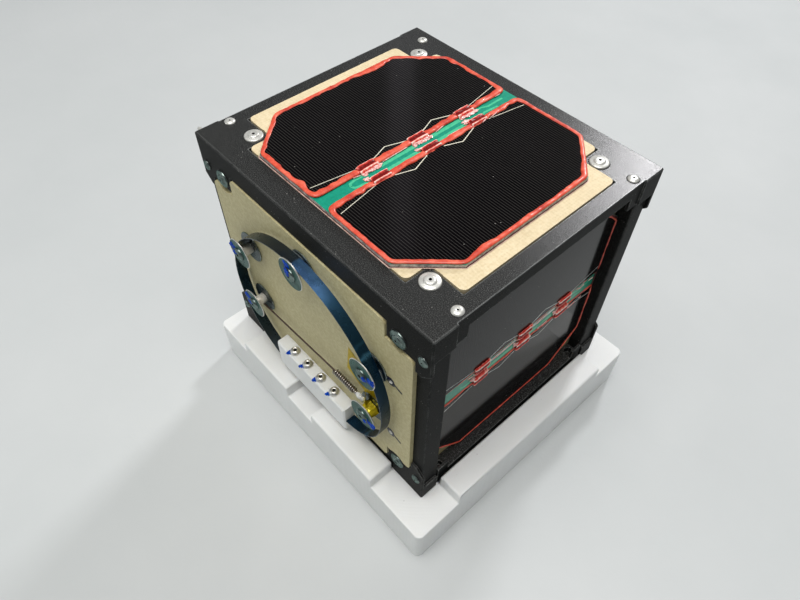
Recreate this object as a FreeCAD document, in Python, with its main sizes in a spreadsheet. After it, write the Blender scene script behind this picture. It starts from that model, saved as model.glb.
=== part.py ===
import FreeCAD, Part
import Sketcher
import math
import os
import re

# One-unit cube satellite on its handling tray.
# X runs along the rails, Y across them and Z up.  The origin is the middle of the tray's
# underside.  Every satellite piece is drawn about the satellite's own centre, or about
# the middle of one of its faces, and its Placement carries it into the shared frame.

doc = FreeCAD.newDocument("satellite")
sheet = doc.addObject("Spreadsheet::Sheet", "sizes")

SIZES = (  # alias, value, what it measures; millimetres, or degrees where it says so
    ("sat_length", 113.5, "rail length, along X"),
    ("sat_width", 100.0, "over the rails, along Y"),
    ("sat_height", 100.0, "over the rails, along Z"),
    # handling tray
    ("tray_left", 4.75, "tray beyond the satellite's left end"),
    ("tray_right", 10.75, "tray beyond the satellite's right end"),
    ("tray_front", 11.3, "tray beyond the satellite's front"),
    ("tray_back", 9.7, "tray beyond the satellite's back"),
    ("seat_height", 20.0, "height of the seats above the bench"),
    ("seat_width", 9.0, "seat under each lower rail"),
    ("fence_height", 6.0, "fence above the seats"),
    ("fence_gap", 0.4, "clearance between the satellite and the fence"),
    ("fence_end_x", 15.75, "front and back fences stop short of the satellite's ends"),
    ("fence_end_y", 9.0, "end fences stop short of the satellite's front and back"),
    ("well_depth", 6.0, "well below the seats, clear of the lower panel"),
    ("notch_width", 16.0, "finger notch in the front and back fences"),
    ("notch_shift", -3.0, "middle of the finger notches from the satellite's centre"),
    ("tray_corner", 2.5, "upright corners of the tray"),
    ("tray_edge", 0.9, "rounded edges along the top of the fences"),
    # end frames
    ("skin", 1.1, "skirts and ears of the frames"),
    ("plate", 2.2, "flat plate of the frames"),
    ("rail_width", 8.4, "rail beside the boards, on the top and bottom"),
    ("skirt_height", 8.3, "skirt along each rail, on the front and back"),
    ("ear_height", 20.0, "ear at each corner, down the post"),
    ("ear_inner_height", 15.3, "inner part of the ear, beside the board"),
    ("ear_reach", 18.1, "inner part of the ear from the rail end"),
    ("ear_tip", 6.3, "outer part of the ear from the rail end"),
    ("ear_cut", 3.6, "cut corner of the ear"),
    ("tab_width", 9.0, "tab on the end face, from the rail"),
    ("tab_height", 10.3, "tab on the end face, down the post"),
    ("foot_width", 7.6, "the same tab of the lower frame"),
    ("foot_height", 8.0, "the same tab of the lower frame, up the post"),
    ("tab_proud", 0.7, "tabs above the end bar's face"),
    ("bar_height", 5.4, "bar across each end of a frame"),
    ("lug_height", 10.3, "lug beside each tab, down the post's inner side"),
    ("lug_width", 5.3, "lug, along Y"),
    ("nut_radius", 2.3, "hexagonal nut pocket in the bar, under each small screw"),
    ("ledge", 2.5, "ledge under each board's edge"),
    ("edge_cut", 0.35, "broken edges of the frames and posts"),
    # boards
    ("board", 1.6, "glass-fibre board"),
    ("board_proud", 0.5, "board above the frame's face"),
    ("board_gap", 0.25, "clearance round a board"),
    ("board_corner", 2.0, "outer corners of a board"),
    ("board_end", 6.5, "boards stop short of the rail ends"),
    ("top_step", 17.0, "long lobe of the top board from the rail's face"),
    ("top_arm", 19.75, "cross arm of the top board from the rail end"),
    ("side_step", 15.6, "long lobe of the side board from the top and bottom"),
    ("side_arm", 18.35, "cross arm of the side board from the rail end"),
    ("relief_radius", 5.2, "round relief in the side boards at each screw"),
    ("end_recess", 6.5, "end board behind the rail ends"),
    ("end_board_edge", 5.5, "end board from the top and bottom"),
    # corner posts
    ("post_width", 17.0, "corner post along X"),
    ("post_depth", 7.5, "corner post along Y"),
    ("slot_depth", 1.0, "slot in each post for the end board"),
    ("slot_gap", 0.1, "clearance of the end board in its slot"),
    # solar panels
    ("cell_from_end", 13.85, "long edge of a cell from the rail end"),
    ("cell_from_plate", 7.1, "long edge of a cell from the top or bottom, on the end faces"),
    ("cell_from_rail", 10.1, "short edge of a cell from the satellite's side"),
    ("cell_crop_across", 13.0, "cropped corner of a cell, across the strip"),
    ("cell_crop_along", 14.2, "cropped corner of a cell, along the strip"),
    ("cell", 0.4, "solar cell with its cover glass"),
    ("strip_half", 4.2, "half width of the wiring strip between the cells"),
    ("bead_width", 1.3, "sealant bead"),
    ("bead_height", 1.1, "sealant bead above the carrier"),
    ("carrier_rim", 0.4, "carrier beyond the bead"),
    ("carrier", 1.2, "carrier board under the cells"),
    ("link_pitch", 21.0, "interconnect clips along the strip"),
    ("link_length", 6.0, "interconnect clip along the strip"),
    ("link_height", 2.7, "interconnect clip above the board"),
    ("link_foot", 1.1, "foot of a clip on the wiring strip"),
    ("link_lap", 1.6, "foot of a clip on the cell"),
    ("link_sheet", 0.4, "clip's sheet with its sealant"),
    ("link_gap", 0.1, "clip clear of the bead"),
    # screws
    ("big_radius", 3.7, "washer-head screw"),
    ("big_height", 1.2, "washer-head screw, head height"),
    ("small_radius", 2.3, "pan-head screw"),
    ("small_height", 0.8, "pan-head screw, head height"),
    ("socket_radius", 1.1, "hexagon socket, across its corners"),
    ("socket_depth", 0.6, "hexagon socket"),
    ("top_big_x", 15.25, "washer-head screws on the top from the rail end"),
    ("top_big_y", 13.2, "washer-head screws on the top from the side"),
    ("top_small_x", 3.45, "pan-head screws on the top from the rail end"),
    ("top_small_y", 11.7, "pan-head screws on the top from the side"),
    ("odd_small_x", 8.95, "odd pan-head screw from the left rail end"),
    ("odd_small_y", 5.4, "odd pan-head screw from the back"),
    ("side_big_x", 13.1, "washer-head screws on the front and back from the rail end"),
    ("side_big_z", 11.7, "washer-head screws on the front and back from the top and bottom"),
    ("side_small_x", 3.35, "pan-head screws on the front and back from the rail end"),
    ("side_small_z", 11.9, "pan-head screws on the front and back from the top and bottom"),
    # antenna
    ("antenna_height", 50.0, "middle of the antenna above the satellite's underside"),
    ("strip_width", 4.0, "antenna strip, width"),
    ("strip_thick", 0.25, "antenna strip, thickness"),
    ("strip_gap", 0.15, "clearance of the strip between the washers of a guide post"),
    ("loop_radius", 41.2, "main bend of the antenna strip"),
    ("loop_drop", 5.0, "centre of the main bend below the satellite's centre"),
    ("root_radius", 28.0, "bend at the strip's fixed end"),
    ("root_join", 200.0, "degrees: where the root's bend meets the main one"),
    ("root_end", 256.0, "degrees: the root's end, inside the clamp"),
    ("tip_radius", 24.0, "bend at the strip's free end"),
    ("tip_join", -20.0, "degrees: where the tip's bend meets the main one"),
    ("tip_end", -82.0, "degrees: the free end"),
    ("guide_up_x", 33.3, "upper guide posts from the middle"),
    ("guide_up_z", 14.0, "upper guide posts above the middle"),
    ("guide_low_x", 32.1, "lower guide posts from the middle"),
    ("guide_low_z", 13.0, "lower guide posts below the middle"),
    ("guide_top_x", 0.6, "top guide post from the middle"),
    ("guide_top_z", 32.2, "top guide post above the middle"),
    ("guide_radius", 2.0, "spacer of a guide post"),
    ("washer_radius", 6.0, "large washers of a guide post"),
    ("washer", 0.5, "large washer thickness"),
    ("guide_head_radius", 2.6, "screw head of a guide post"),
    ("guide_head_height", 0.9, "screw head of a guide post"),
    ("clamp_half", 20.7, "half length of the strip's clamp block"),
    ("clamp_drop", 26.4, "top of the clamp block below the middle"),
    ("clamp_height", 14.0, "height of the clamp block"),
    ("clamp_depth", 5.3, "depth of the clamp block"),
    ("clamp_edge", 0.6, "cut edges of the clamp block"),
    ("clamp_slit", 0.1, "clearance of the strip in the clamp's slit"),
    ("clamp_pitch", 8.0, "clamp screws along X"),
    ("clamp_head_radius", 2.1, "clamp screw head"),
    ("clamp_head_height", 1.5, "clamp screw head height"),
    ("line_radius", 0.35, "hold-down line"),
    ("line_lift", 1.8, "hold-down line above the front board"),
    ("line_drop", 11.2, "hold-down spring below the middle"),
    ("spring_radius", 1.1, "hold-down spring, outer radius"),
    ("spring_from", 13.0, "left end of the spring"),
    ("spring_length", 11.5, "hold-down spring"),
    # inside
    ("stack_edge", 10.0, "electronics stack from the top and bottom"),
)

for row, (alias, value, meaning) in enumerate(SIZES, start=1):
    sheet.set(f"A{row}", meaning)
    sheet.set(f"B{row}", str(value))
    sheet.setAlias(f"B{row}", alias)
doc.recompute()
size = {alias: float(sheet.get(alias)) for alias, _, _ in SIZES}

HALF_X = "sat_length / 2"
HALF_Y = "sat_width / 2"
HALF_Z = "sat_height / 2"
TRAY_X = "(sat_length + tray_left + tray_right)"
TRAY_Y = "(sat_width + tray_front + tray_back)"
SAT_X = "((tray_left - tray_right) / 2)"
SAT_Y = "((tray_front - tray_back) / 2)"
CORNERS = ((1, 1), (1, -1), (-1, 1), (-1, -1))  # signs of the two axes at four corners
FLAT = 1e-4  # how near two coordinates are when an edge is looked for by its place

PARTS = []  # (node name, document object)


# ---------------------------------------------------------------- drawing helpers
def ref(formula):
    """A formula in the sheet's aliases, as an expression that an object can be bound to."""
    return re.sub(r"\b([a-z][a-z0-9_]*)\b", r"sizes.\1", str(formula))


def value_of(formula):
    """The number that a formula gives, for the pieces that Part's functions make."""
    return float(sheet.evalExpression(ref(formula)))


def bind(obj, **formulas):
    for name, formula in formulas.items():
        obj.setExpression(name.replace("__", "."), ref(formula))
    return obj


def base(obj, x=0, y=0, z=0):
    """Binds the three coordinates of an object's Placement."""
    return bind(obj, Placement__Base__x=x, Placement__Base__y=y, Placement__Base__z=z)


def box(name, lx, ly, lz, x=0, y=0, z=0):
    """A block centred on x and y whose lowest face is at z."""
    obj = doc.addObject("Part::Box", name)
    bind(obj, Length=lx, Width=ly, Height=lz)
    return base(obj, f"({x}) - ({lx}) / 2", f"({y}) - ({ly}) / 2", z)


def disc(name, radius, height, x=0, y=0, z=0):
    obj = doc.addObject("Part::Cylinder", name)
    bind(obj, Radius=radius, Height=height)
    return base(obj, x, y, z)


def hexagon(name, radius, height, x=0, y=0, z=0):
    """An upright hexagonal prism; the radius is that of its corners."""
    obj = doc.addObject("Part::Prism", name)
    obj.Polygon = 6
    bind(obj, Circumradius=radius, Height=height)
    return base(obj, x, y, z)


def draw(sketch, points):
    """Adds a closed outline of straight lines; each corner is a pair of formulas."""
    first = sketch.GeometryCount
    count = len(points)
    reach = size["sat_width"] / 2
    turns = [math.tau * i / count for i in range(count)]
    spots = [FreeCAD.Vector(reach * math.cos(turn), reach * math.sin(turn), 0) for turn in turns]
    for i in range(count):
        sketch.addGeometry(Part.LineSegment(spots[i], spots[(i + 1) % count]), False)
    for i in range(count):
        ends = (first + i, 2, first + (i + 1) % count, 1)
        sketch.addConstraint(Sketcher.Constraint("Coincident", *ends))
    for i, corner in enumerate(points):
        for kind, formula, start in zip(("DistanceX", "DistanceY"), corner, spots[i]):
            at = sketch.addConstraint(Sketcher.Constraint(kind, -1, 1, first + i, 1, start))
            sketch.setExpression(f"Constraints[{at}]", ref(formula))
    return sketch


def circle(sketch, radius, x, y):
    """Adds a circle; its radius and centre are formulas."""
    at = sketch.GeometryCount
    sketch.addGeometry(Part.Circle(FreeCAD.Vector(1, 1, 0), FreeCAD.Vector(0, 0, 1), 1), False)
    for constraint, formula in (
        (Sketcher.Constraint("Radius", at, 1), radius),
        (Sketcher.Constraint("DistanceX", -1, 1, at, 3, 1), x),
        (Sketcher.Constraint("DistanceY", -1, 1, at, 3, 1), y),
    ):
        row = sketch.addConstraint(constraint)
        sketch.setExpression(f"Constraints[{row}]", ref(formula))
    return sketch


def rectangle(x_from, x_to, y_from, y_to):
    return [(x_from, y_from), (x_to, y_from), (x_to, y_to), (x_from, y_to)]


def body(name):
    return doc.addObject("PartDesign::Body", name)


def body_sketch(owner, name, role, height="0"):
    """An empty sketch on one of the body's origin planes, lifted along its normal."""
    sketch = owner.newObject("Sketcher::SketchObject", name)
    plane = next(feature for feature in owner.Origin.OriginFeatures if feature.Role == role)
    sketch.AttachmentSupport = [(plane, "")]
    sketch.MapMode = "FlatFace"
    sketch.setExpression("AttachmentOffset.Base.z", ref(height))
    return sketch


def pad(owner, name, sketch, length, symmetric=False):
    feature = owner.newObject("PartDesign::Pad", name)
    feature.Profile = sketch
    feature.SideType = "Symmetric" if symmetric else "One side"
    return bind(feature, Length=length)


def pocket(owner, name, sketch, depth):
    """Cuts down from the sketch, and makes sure that something was cut."""
    doc.recompute()
    before = owner.Shape.Volume
    feature = owner.newObject("PartDesign::Pocket", name)
    feature.Profile = sketch
    bind(feature, Length=depth)
    doc.recompute()
    if not feature.Shape.Volume < before:
        raise RuntimeError(f"{name} cuts nothing")
    return feature


def dress(owner, kind, name, amount, pick):
    """A PartDesign Fillet or Chamfer on the edges of the body that pick() accepts."""
    doc.recompute()
    tip = owner.Tip
    edges = [f"Edge{i}" for i, edge in enumerate(tip.Shape.Edges, start=1) if pick(edge)]
    feature = owner.newObject(f"PartDesign::{kind}", name)
    feature.Base = (tip, edges)
    return bind(feature, **{"Radius" if kind == "Fillet" else "Size": amount})


def upright(edge):
    start, end = edge.Vertexes[0].Point, edge.Vertexes[-1].Point
    return abs(start.x - end.x) < FLAT and abs(start.y - end.y) < FLAT


def level(edge, height):
    return all(abs(vertex.Z - height) < FLAT for vertex in edge.Vertexes)


PLANES = {  # plane: (turn of the sketch, direction of its prism)
    "XY": (FreeCAD.Rotation(), FreeCAD.Vector(0, 0, 1)),
    "XZ": (FreeCAD.Rotation(FreeCAD.Vector(1, 0, 0), 90), FreeCAD.Vector(0, 1, 0)),
    "YZ": (FreeCAD.Rotation(FreeCAD.Vector(1, 1, 1), 120), FreeCAD.Vector(1, 0, 0)),
}


def prism(name, plane, points, start, end):
    """A free sketch carried from start to end along its plane's own axis."""
    sketch = doc.addObject("Sketcher::SketchObject", name + "_outline")
    sketch.Placement = FreeCAD.Placement(FreeCAD.Vector(), PLANES[plane][0])
    obj = doc.addObject("Part::Extrusion", name)
    obj.Base = draw(sketch, points)
    obj.DirMode = "Custom"
    obj.Dir = PLANES[plane][1]
    obj.Solid = True
    return bind(obj, LengthFwd=end, LengthRev=f"-({start})")


def fuse(name, *pieces):
    obj = doc.addObject("Part::MultiFuse", name)
    obj.Shapes = list(pieces)
    obj.Refine = True
    return obj


def cut(name, stock, *tools):
    obj = doc.addObject("Part::Cut", name)
    obj.Base = stock
    obj.Tool = tools[0] if len(tools) == 1 else fuse(name + "_tools", *tools)
    obj.Refine = True
    return obj


def common(name, *pieces):
    obj = doc.addObject("Part::MultiCommon", name)
    obj.Shapes = list(pieces)
    return obj


def group(name, *pieces):
    obj = doc.addObject("Part::Compound", name)
    obj.Links = list(pieces)
    return obj


def mirrored(points):
    """One half of an outline, then its mirror image on the other side of the middle."""
    return points + [(f"-({across})", along) for across, along in reversed(points)]


UPRIGHT = FreeCAD.Rotation()
SIDEWAYS = FreeCAD.Vector(0, 1, 0)
ALONG = FreeCAD.Vector(1, 0, 0)
FACES = {  # face: (turn from the top face, its outward direction, board's face from the centre)
    "top": (UPRIGHT, (0, 0, 1), f"{HALF_Z} + board_proud"),
    "bottom": (FreeCAD.Rotation(SIDEWAYS, 180), (0, 0, -1), f"{HALF_Z} + board_proud"),
    "front": (FreeCAD.Rotation(ALONG, 90), (0, -1, 0), f"{HALF_Y} + board_proud"),
    "back": (FreeCAD.Rotation(ALONG, -90), (0, 1, 0), f"{HALF_Y} + board_proud"),
    "right": (FreeCAD.Rotation(SIDEWAYS, 90), (1, 0, 0), f"{HALF_X} - end_recess"),
    "left": (FreeCAD.Rotation(SIDEWAYS, -90), (-1, 0, 0), f"{HALF_X} - end_recess"),
}


def part(node, obj, face=None, height=HALF_Z):
    """Names a finished sub-part and carries it to the satellite's middle, or to a point on
    one of its faces that is the stated height above its underside."""
    obj.Label = node
    turn, step, reach = FACES.get(face, (UPRIGHT, (0, 0, 0), "0"))
    obj.Placement = FreeCAD.Placement(FreeCAD.Vector(), turn)
    base(
        obj,
        f"{SAT_X} + ({step[0]}) * ({reach})",
        f"{SAT_Y} + ({step[1]}) * ({reach})",
        f"seat_height + {height} + ({step[2]}) * ({reach})",
    )
    PARTS.append((node, obj))


def antenna_part(node, *pieces):
    """A sub-part of the antenna, on the front face."""
    part(node, group(node + "_set", *pieces), "front", "antenna_height")


# ---------------------------------------------------------------- handling tray
def make_tray():
    """A white plastic block, machined from above: a nest that the satellite drops into, a
    well between its two seats, open corners, and finger notches front and back."""
    tray = body("tray")
    top = "seat_height + fence_height"
    plan = body_sketch(tray, "tray_plan", "XY_Plane")
    draw(plan, rectangle(f"-{TRAY_X} / 2", f"{TRAY_X} / 2", f"-{TRAY_Y} / 2", f"{TRAY_Y} / 2"))
    pad(tray, "tray_block", plan, top)
    dress(tray, "Fillet", "tray_corners", "tray_corner", upright)

    nest = body_sketch(tray, "nest_plan", "XY_Plane", top)
    draw(nest, rectangle(f"{SAT_X} - {HALF_X} - fence_gap", f"{SAT_X} + {HALF_X} + fence_gap",
                         f"{SAT_Y} - {HALF_Y} - fence_gap", f"{SAT_Y} + {HALF_Y} + fence_gap"))
    pocket(tray, "nest", nest, "fence_height")
    for i, (sx, sy) in enumerate(CORNERS):
        inner_x = f"{SAT_X} + ({sx}) * ({HALF_X} - fence_end_x)"
        inner_y = f"{SAT_Y} + ({sy}) * ({HALF_Y} - fence_end_y)"
        corner = body_sketch(tray, f"open_corner_plan_{i}", "XY_Plane", top)
        draw(corner, rectangle(inner_x, f"({sx}) * {TRAY_X}", inner_y, f"({sy}) * {TRAY_Y}"))
        pocket(tray, f"open_corner_{i}", corner, "fence_height")
    notch = body_sketch(tray, "notch_plan", "XY_Plane", top)
    draw(notch, rectangle(f"{SAT_X} + notch_shift - notch_width / 2",
                          f"{SAT_X} + notch_shift + notch_width / 2", f"-{TRAY_Y}", f"{TRAY_Y}"))
    pocket(tray, "finger_notches", notch, "fence_height")
    well = body_sketch(tray, "well_plan", "XY_Plane", "seat_height")
    draw(well, rectangle(f"{SAT_X} - {HALF_X} - fence_gap", f"{SAT_X} + {HALF_X} + fence_gap",
                         f"{SAT_Y} - {HALF_Y} + seat_width", f"{SAT_Y} + {HALF_Y} - seat_width"))
    pocket(tray, "well", well, "well_depth")

    rim = value_of(top)
    dress(tray, "Fillet", "fence_edges", "tray_edge", lambda edge: level(edge, rim))
    doc.recompute()
    tray.Label = "handling_tray"
    PARTS.append(("handling_tray", tray))


# ---------------------------------------------------------------- frames and posts
def cross_points(lobe_x, lobe_y, arm_x, arm_y, grow="0"):
    """A cross: a long lobe along X and a shorter, wider arm across it."""
    half = [
        (f"{arm_x} + {grow}", f"{arm_y} + {grow}"),
        (f"{arm_x} + {grow}", f"{lobe_y} + {grow}"),
        (f"{lobe_x} + {grow}", f"{lobe_y} + {grow}"),
        (f"{lobe_x} + {grow}", f"-({lobe_y} + {grow})"),
        (f"{arm_x} + {grow}", f"-({lobe_y} + {grow})"),
        (f"{arm_x} + {grow}", f"-({arm_y} + {grow})"),
    ]
    return mirrored(half)


TOP_CROSS = (f"{HALF_X} - board_end", f"{HALF_Y} - top_step", f"{HALF_X} - top_arm",
             f"{HALF_Y} - rail_width")
SIDE_CROSS = (f"{HALF_X} - board_end", f"{HALF_Z} - side_step", f"{HALF_X} - side_arm",
              f"{HALF_Z} - skirt_height - board_gap")


def make_frame(side, turn, height, tab_width, tab_height):
    """A frame, drawn with its outer face up at z = 0: a plate with a skirt along each rail,
    an ear and a tab down each corner post, and a bar with two lugs across each end."""
    front = [
        (HALF_X, "0"),
        (HALF_X, "-(ear_height - ear_cut)"),
        (f"{HALF_X} - ear_cut", "-ear_height"),
        (f"{HALF_X} - ear_tip", "-ear_height"),
        (f"{HALF_X} - ear_tip", "-ear_inner_height"),
        (f"{HALF_X} - ear_reach", "-ear_inner_height"),
        (f"{HALF_X} - ear_reach", "-skirt_height"),
    ]
    end = [
        (HALF_Y, "0"),
        (HALF_Y, "-ear_height"),
        (f"{HALF_Y} - skin", "-ear_height"),
        (f"{HALF_Y} - skin", f"-{tab_height}"),
        (f"{HALF_Y} - {tab_width}", f"-{tab_height}"),
        (f"{HALF_Y} - {tab_width}", "-plate"),
    ]
    block = box(f"{side}_block", "sat_length", "sat_width", "ear_height", z="-ear_height")
    from_front = prism(f"{side}_front", "XZ", mirrored(front), "-sat_width", "sat_width")
    from_end = prism(f"{side}_end", "YZ", mirrored(end), "-sat_length", "sat_length")
    hollow = box(f"{side}_hollow", "sat_length - 2 * skin", "sat_width - 2 * skin",
                 "ear_height", z="-ear_height - plate")
    shell = cut(f"{side}_shell", common(f"{side}_skin", block, from_front, from_end), hollow)

    bar_face = f"({HALF_X} - tab_proud)"
    bar_back = f"({HALF_X} - end_recess + slot_gap)"
    bar_reach = f"({HALF_Y} - skin - post_depth - slot_gap)"
    extras = []
    for i, sx in enumerate((1, -1)):
        extras.append(box(f"{side}_bar_{i}", f"{bar_face} - {bar_back}", f"2 * {bar_reach}",
                          "bar_height - plate / 2", f"({sx}) * ({bar_face} + {bar_back}) / 2",
                          z="-bar_height"))
        for j, sy in enumerate((1, -1)):
            extras.append(box(f"{side}_lug_{i}{j}", "skin", "lug_width", "lug_height - plate / 2",
                              f"({sx}) * ({bar_face} - skin / 2)",
                              f"({sy}) * ({bar_reach} - lug_width / 2)", "-lug_height"))
    frame = fuse(f"{side}_frame", shell, *extras)

    seat = prism(f"{side}_seat", "XY", cross_points(*TOP_CROSS, "board_gap"),
                 "board_proud - board", "board")
    window = prism(f"{side}_window", "XY", cross_points(*TOP_CROSS, "(-ledge)"), "-2 * plate", "board")
    tools = [seat, window]
    for i, sx in enumerate((1, -1)):
        tools.append(box(f"{side}_step_{i}", "2 * tab_proud", f"sat_width - 2 * {tab_width}",
                         "3 * plate", f"({sx}) * {HALF_X}", z="-1.5 * plate"))
        for j, sy in enumerate((1, -1)):
            tools.append(hexagon(f"{side}_nut_{i}{j}", "nut_radius", "bar_height - plate",
                                 f"({sx}) * ({HALF_X} - top_small_x)",
                                 f"({sy}) * ({HALF_Y} - top_small_y)", "-bar_height"))
    machined = cut(f"{side}_machined", frame, *tools)
    doc.recompute()
    outline = doc.addObject("Part::Chamfer", f"{side}_broken_edges")
    outline.Base = machined
    half_x, half_y = size["sat_length"] / 2, size["sat_width"] / 2
    chosen = []
    for i, edge in enumerate(machined.Shape.Edges, start=1):
        middle = edge.CenterOfMass
        outer = abs(abs(middle.x) - half_x) < FLAT, abs(abs(middle.y) - half_y) < FLAT
        if (level(edge, 0) and any(outer)) or all(outer):
            chosen.append((i, size["edge_cut"], size["edge_cut"]))
    outline.Edges = chosen
    outline.Label = f"frame_{side}"
    outline.Placement = FreeCAD.Placement(FreeCAD.Vector(), turn)
    base(outline, SAT_X, SAT_Y, height)
    PARTS.append((outline.Label, outline))


def make_posts():
    """Four corner posts between the frames, each slotted for the end board."""
    outer_x = f"({HALF_X} - skin)"
    outer_y = f"({HALF_Y} - skin)"
    slot_out = f"({HALF_X} - end_recess + slot_gap)"
    slot_in = f"({HALF_X} - end_recess - board - slot_gap)"
    section = [
        (outer_x, outer_y),
        (f"{outer_x} - post_width", outer_y),
        (f"{outer_x} - post_width", f"{outer_y} - post_depth"),
        (slot_in, f"{outer_y} - post_depth"),
        (slot_in, f"{outer_y} - post_depth + slot_depth"),
        (slot_out, f"{outer_y} - post_depth + slot_depth"),
        (slot_out, f"{outer_y} - post_depth"),
        (outer_x, f"{outer_y} - post_depth"),
    ]
    names = {(1, 1): "right_back", (1, -1): "right_front", (-1, 1): "left_back", (-1, -1): "left_front"}
    for sx, sy in CORNERS:
        post = body(f"post_{names[sx, sy]}")
        plan = body_sketch(post, f"section_{names[sx, sy]}", "XY_Plane")
        draw(plan, [(f"({sx}) * ({across})", f"({sy}) * ({along})") for across, along in section])
        pad(post, f"length_{names[sx, sy]}", plan, "sat_height - 2 * plate", symmetric=True)
        reach = value_of(outer_x)
        dress(post, "Chamfer", f"edges_{names[sx, sy]}", "edge_cut",
              lambda edge: upright(edge) and abs(abs(edge.CenterOfMass.x) - reach) < FLAT)
        part(f"corner_post_{names[sx, sy]}", post)


# ---------------------------------------------------------------- boards
def make_board(face, points, radius, at_x, at_y):
    """A cross-shaped board with rounded outer corners and a round relief at each screw."""
    board = body(f"{face}_board")
    plan = body_sketch(board, f"{face}_board_plan", "XY_Plane", "-board")
    draw(plan, points)
    pad(board, f"{face}_board_sheet", plan, "board")
    half_x, half_y = (max(abs(vertex.Point[axis]) for vertex in outer_vertices(board)) for axis in (0, 1))

    def outer_corner(edge):
        middle = edge.CenterOfMass
        return upright(edge) and (abs(abs(middle.x) - half_x) < FLAT or abs(abs(middle.y) - half_y) < FLAT)

    dress(board, "Fillet", f"{face}_board_corners", "board_corner", outer_corner)
    reliefs = body_sketch(board, f"{face}_relief_plan", "XY_Plane")
    for sx, sy in CORNERS:
        circle(reliefs, radius, f"({sx}) * ({at_x})", f"({sy}) * ({at_y})")
    pocket(board, f"{face}_reliefs", reliefs, "board")
    part(f"board_{face}", board, face)


def outer_vertices(owner):
    doc.recompute()
    return owner.Shape.Vertexes


def make_boards():
    for face in ("top", "bottom"):
        make_board(face, cross_points(*TOP_CROSS), "big_radius + board_gap",
                   f"{HALF_X} - top_big_x", f"{HALF_Y} - top_big_y")
    for face in ("front", "back"):
        make_board(face, cross_points(*SIDE_CROSS), "relief_radius",
                   f"{HALF_X} - side_big_x", f"{HALF_Z} - side_big_z")
    for face in ("right", "left"):
        sheet_y = f"2 * ({HALF_Y} - skin - post_depth + slot_depth - slot_gap)"
        plate = box(f"{face}_board_plate", "sat_height - 2 * end_board_edge", sheet_y, "board", z="-board")
        part(f"board_{face}", group(f"{face}_board_set", plate), face)


# ---------------------------------------------------------------- solar panels
PANELS = {  # face: (long edge of the cells from the panel's middle, their short edge)
    "top": (f"({HALF_X} - cell_from_end)", f"({HALF_Y} - cell_from_rail)"),
    "bottom": (f"({HALF_X} - cell_from_end)", f"({HALF_Y} - cell_from_rail)"),
    "back": (f"({HALF_X} - cell_from_end)", f"({HALF_Z} - cell_from_rail)"),
    "right": (f"({HALF_Z} - cell_from_plate)", f"({HALF_Y} - cell_from_rail)"),
    "left": (f"({HALF_Z} - cell_from_plate)", f"({HALF_Y} - cell_from_rail)"),
}


def cell_outline(side, outer, long, grow="0"):
    """One cell, its two outer corners cropped, grown all round; side is 1 or -1."""
    half = [
        (f"strip_half - {grow}", f"{long} + {grow}"),
        (f"{outer} - cell_crop_across + {grow} / 2", f"{long} + {grow}"),
        (f"{outer} + {grow}", f"{long} - cell_crop_along + {grow} / 2"),
    ]
    points = half + [(across, f"-({along})") for across, along in reversed(half)]
    return [(f"({side}) * ({across})", along) for across, along in points]


def clip_profile(side):
    """A clip's section: up from the wiring strip, over the bead and down onto the cell."""
    foot = "strip_half - bead_width - link_gap"
    over = "carrier + bead_height + link_gap"
    profile = [
        (f"{foot} - link_foot", "carrier"),
        (foot, "carrier"),
        (foot, over),
        ("strip_half + link_gap", over),
        ("strip_half + link_gap", "carrier + cell"),
        ("strip_half + link_gap + link_lap", "carrier + cell"),
        ("strip_half + link_gap + link_lap", "carrier + cell + link_sheet"),
        ("strip_half + link_gap + link_sheet", "link_height"),
        (f"{foot} - link_sheet", "link_height"),
        (f"{foot} - link_foot", "carrier + link_sheet"),
    ]
    return [(f"({side}) * ({across})", along) for across, along in profile]


def make_panel(face):
    """Carrier, two cells, a sealant bead round each cell and the clips between them."""
    outer, long = PANELS[face]
    rim = "(bead_width + carrier_rim)"
    half = cell_outline(1, outer, long, rim)
    carrier = prism(f"carrier_{face}", "XY", mirrored(half[1:5]), "0", "carrier")
    part(f"solar_carrier_{face}", carrier, face)
    cells, beads, clips = [], [], []
    for side, tag in ((1, "a"), (-1, "b")):
        cells.append(prism(f"cell_{face}_{tag}", "XY", cell_outline(side, outer, long),
                           "carrier", "carrier + cell"))
        ring = prism(f"ring_{face}_{tag}", "XY", cell_outline(side, outer, long, "bead_width"),
                     "carrier", "carrier + bead_height")
        core = prism(f"core_{face}_{tag}", "XY", cell_outline(side, outer, long),
                     "0", "carrier + 2 * bead_height")
        beads.append(cut(f"bead_{face}_{tag}", ring, core))
        for i in (-1, 0, 1):
            middle = f"({i}) * link_pitch"
            clips.append(prism(f"clip_{face}_{tag}{i + 1}", "XZ", clip_profile(side),
                               f"{middle} - link_length / 2", f"{middle} + link_length / 2"))
    part(f"solar_cells_{face}", group(f"cells_{face}", *cells), face)
    part(f"sealant_{face}", group(f"sealant_set_{face}", *beads), face)
    part(f"cell_clips_{face}", group(f"clips_{face}", *clips), face)


# ---------------------------------------------------------------- screws
TOP_SCREWS = [("big", f"({sx}) * ({HALF_X} - top_big_x)", f"({sy}) * ({HALF_Y} - top_big_y)")
              for sx, sy in CORNERS]
TOP_SCREWS += [("small", f"({sx}) * ({HALF_X} - top_small_x)", f"({sy}) * ({HALF_Y} - top_small_y)")
               for sx, sy in CORNERS if (sx, sy) != (-1, 1)]
TOP_SCREWS += [("small", f"-({HALF_X} - odd_small_x)", f"{HALF_Y} - odd_small_y")]
SIDE_SCREWS = [(kind, f"({sx}) * ({HALF_X} - side_{kind}_x)", f"({sy}) * ({HALF_Z} - side_{kind}_z)")
               for kind in ("big", "small") for sx, sy in CORNERS]


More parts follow.
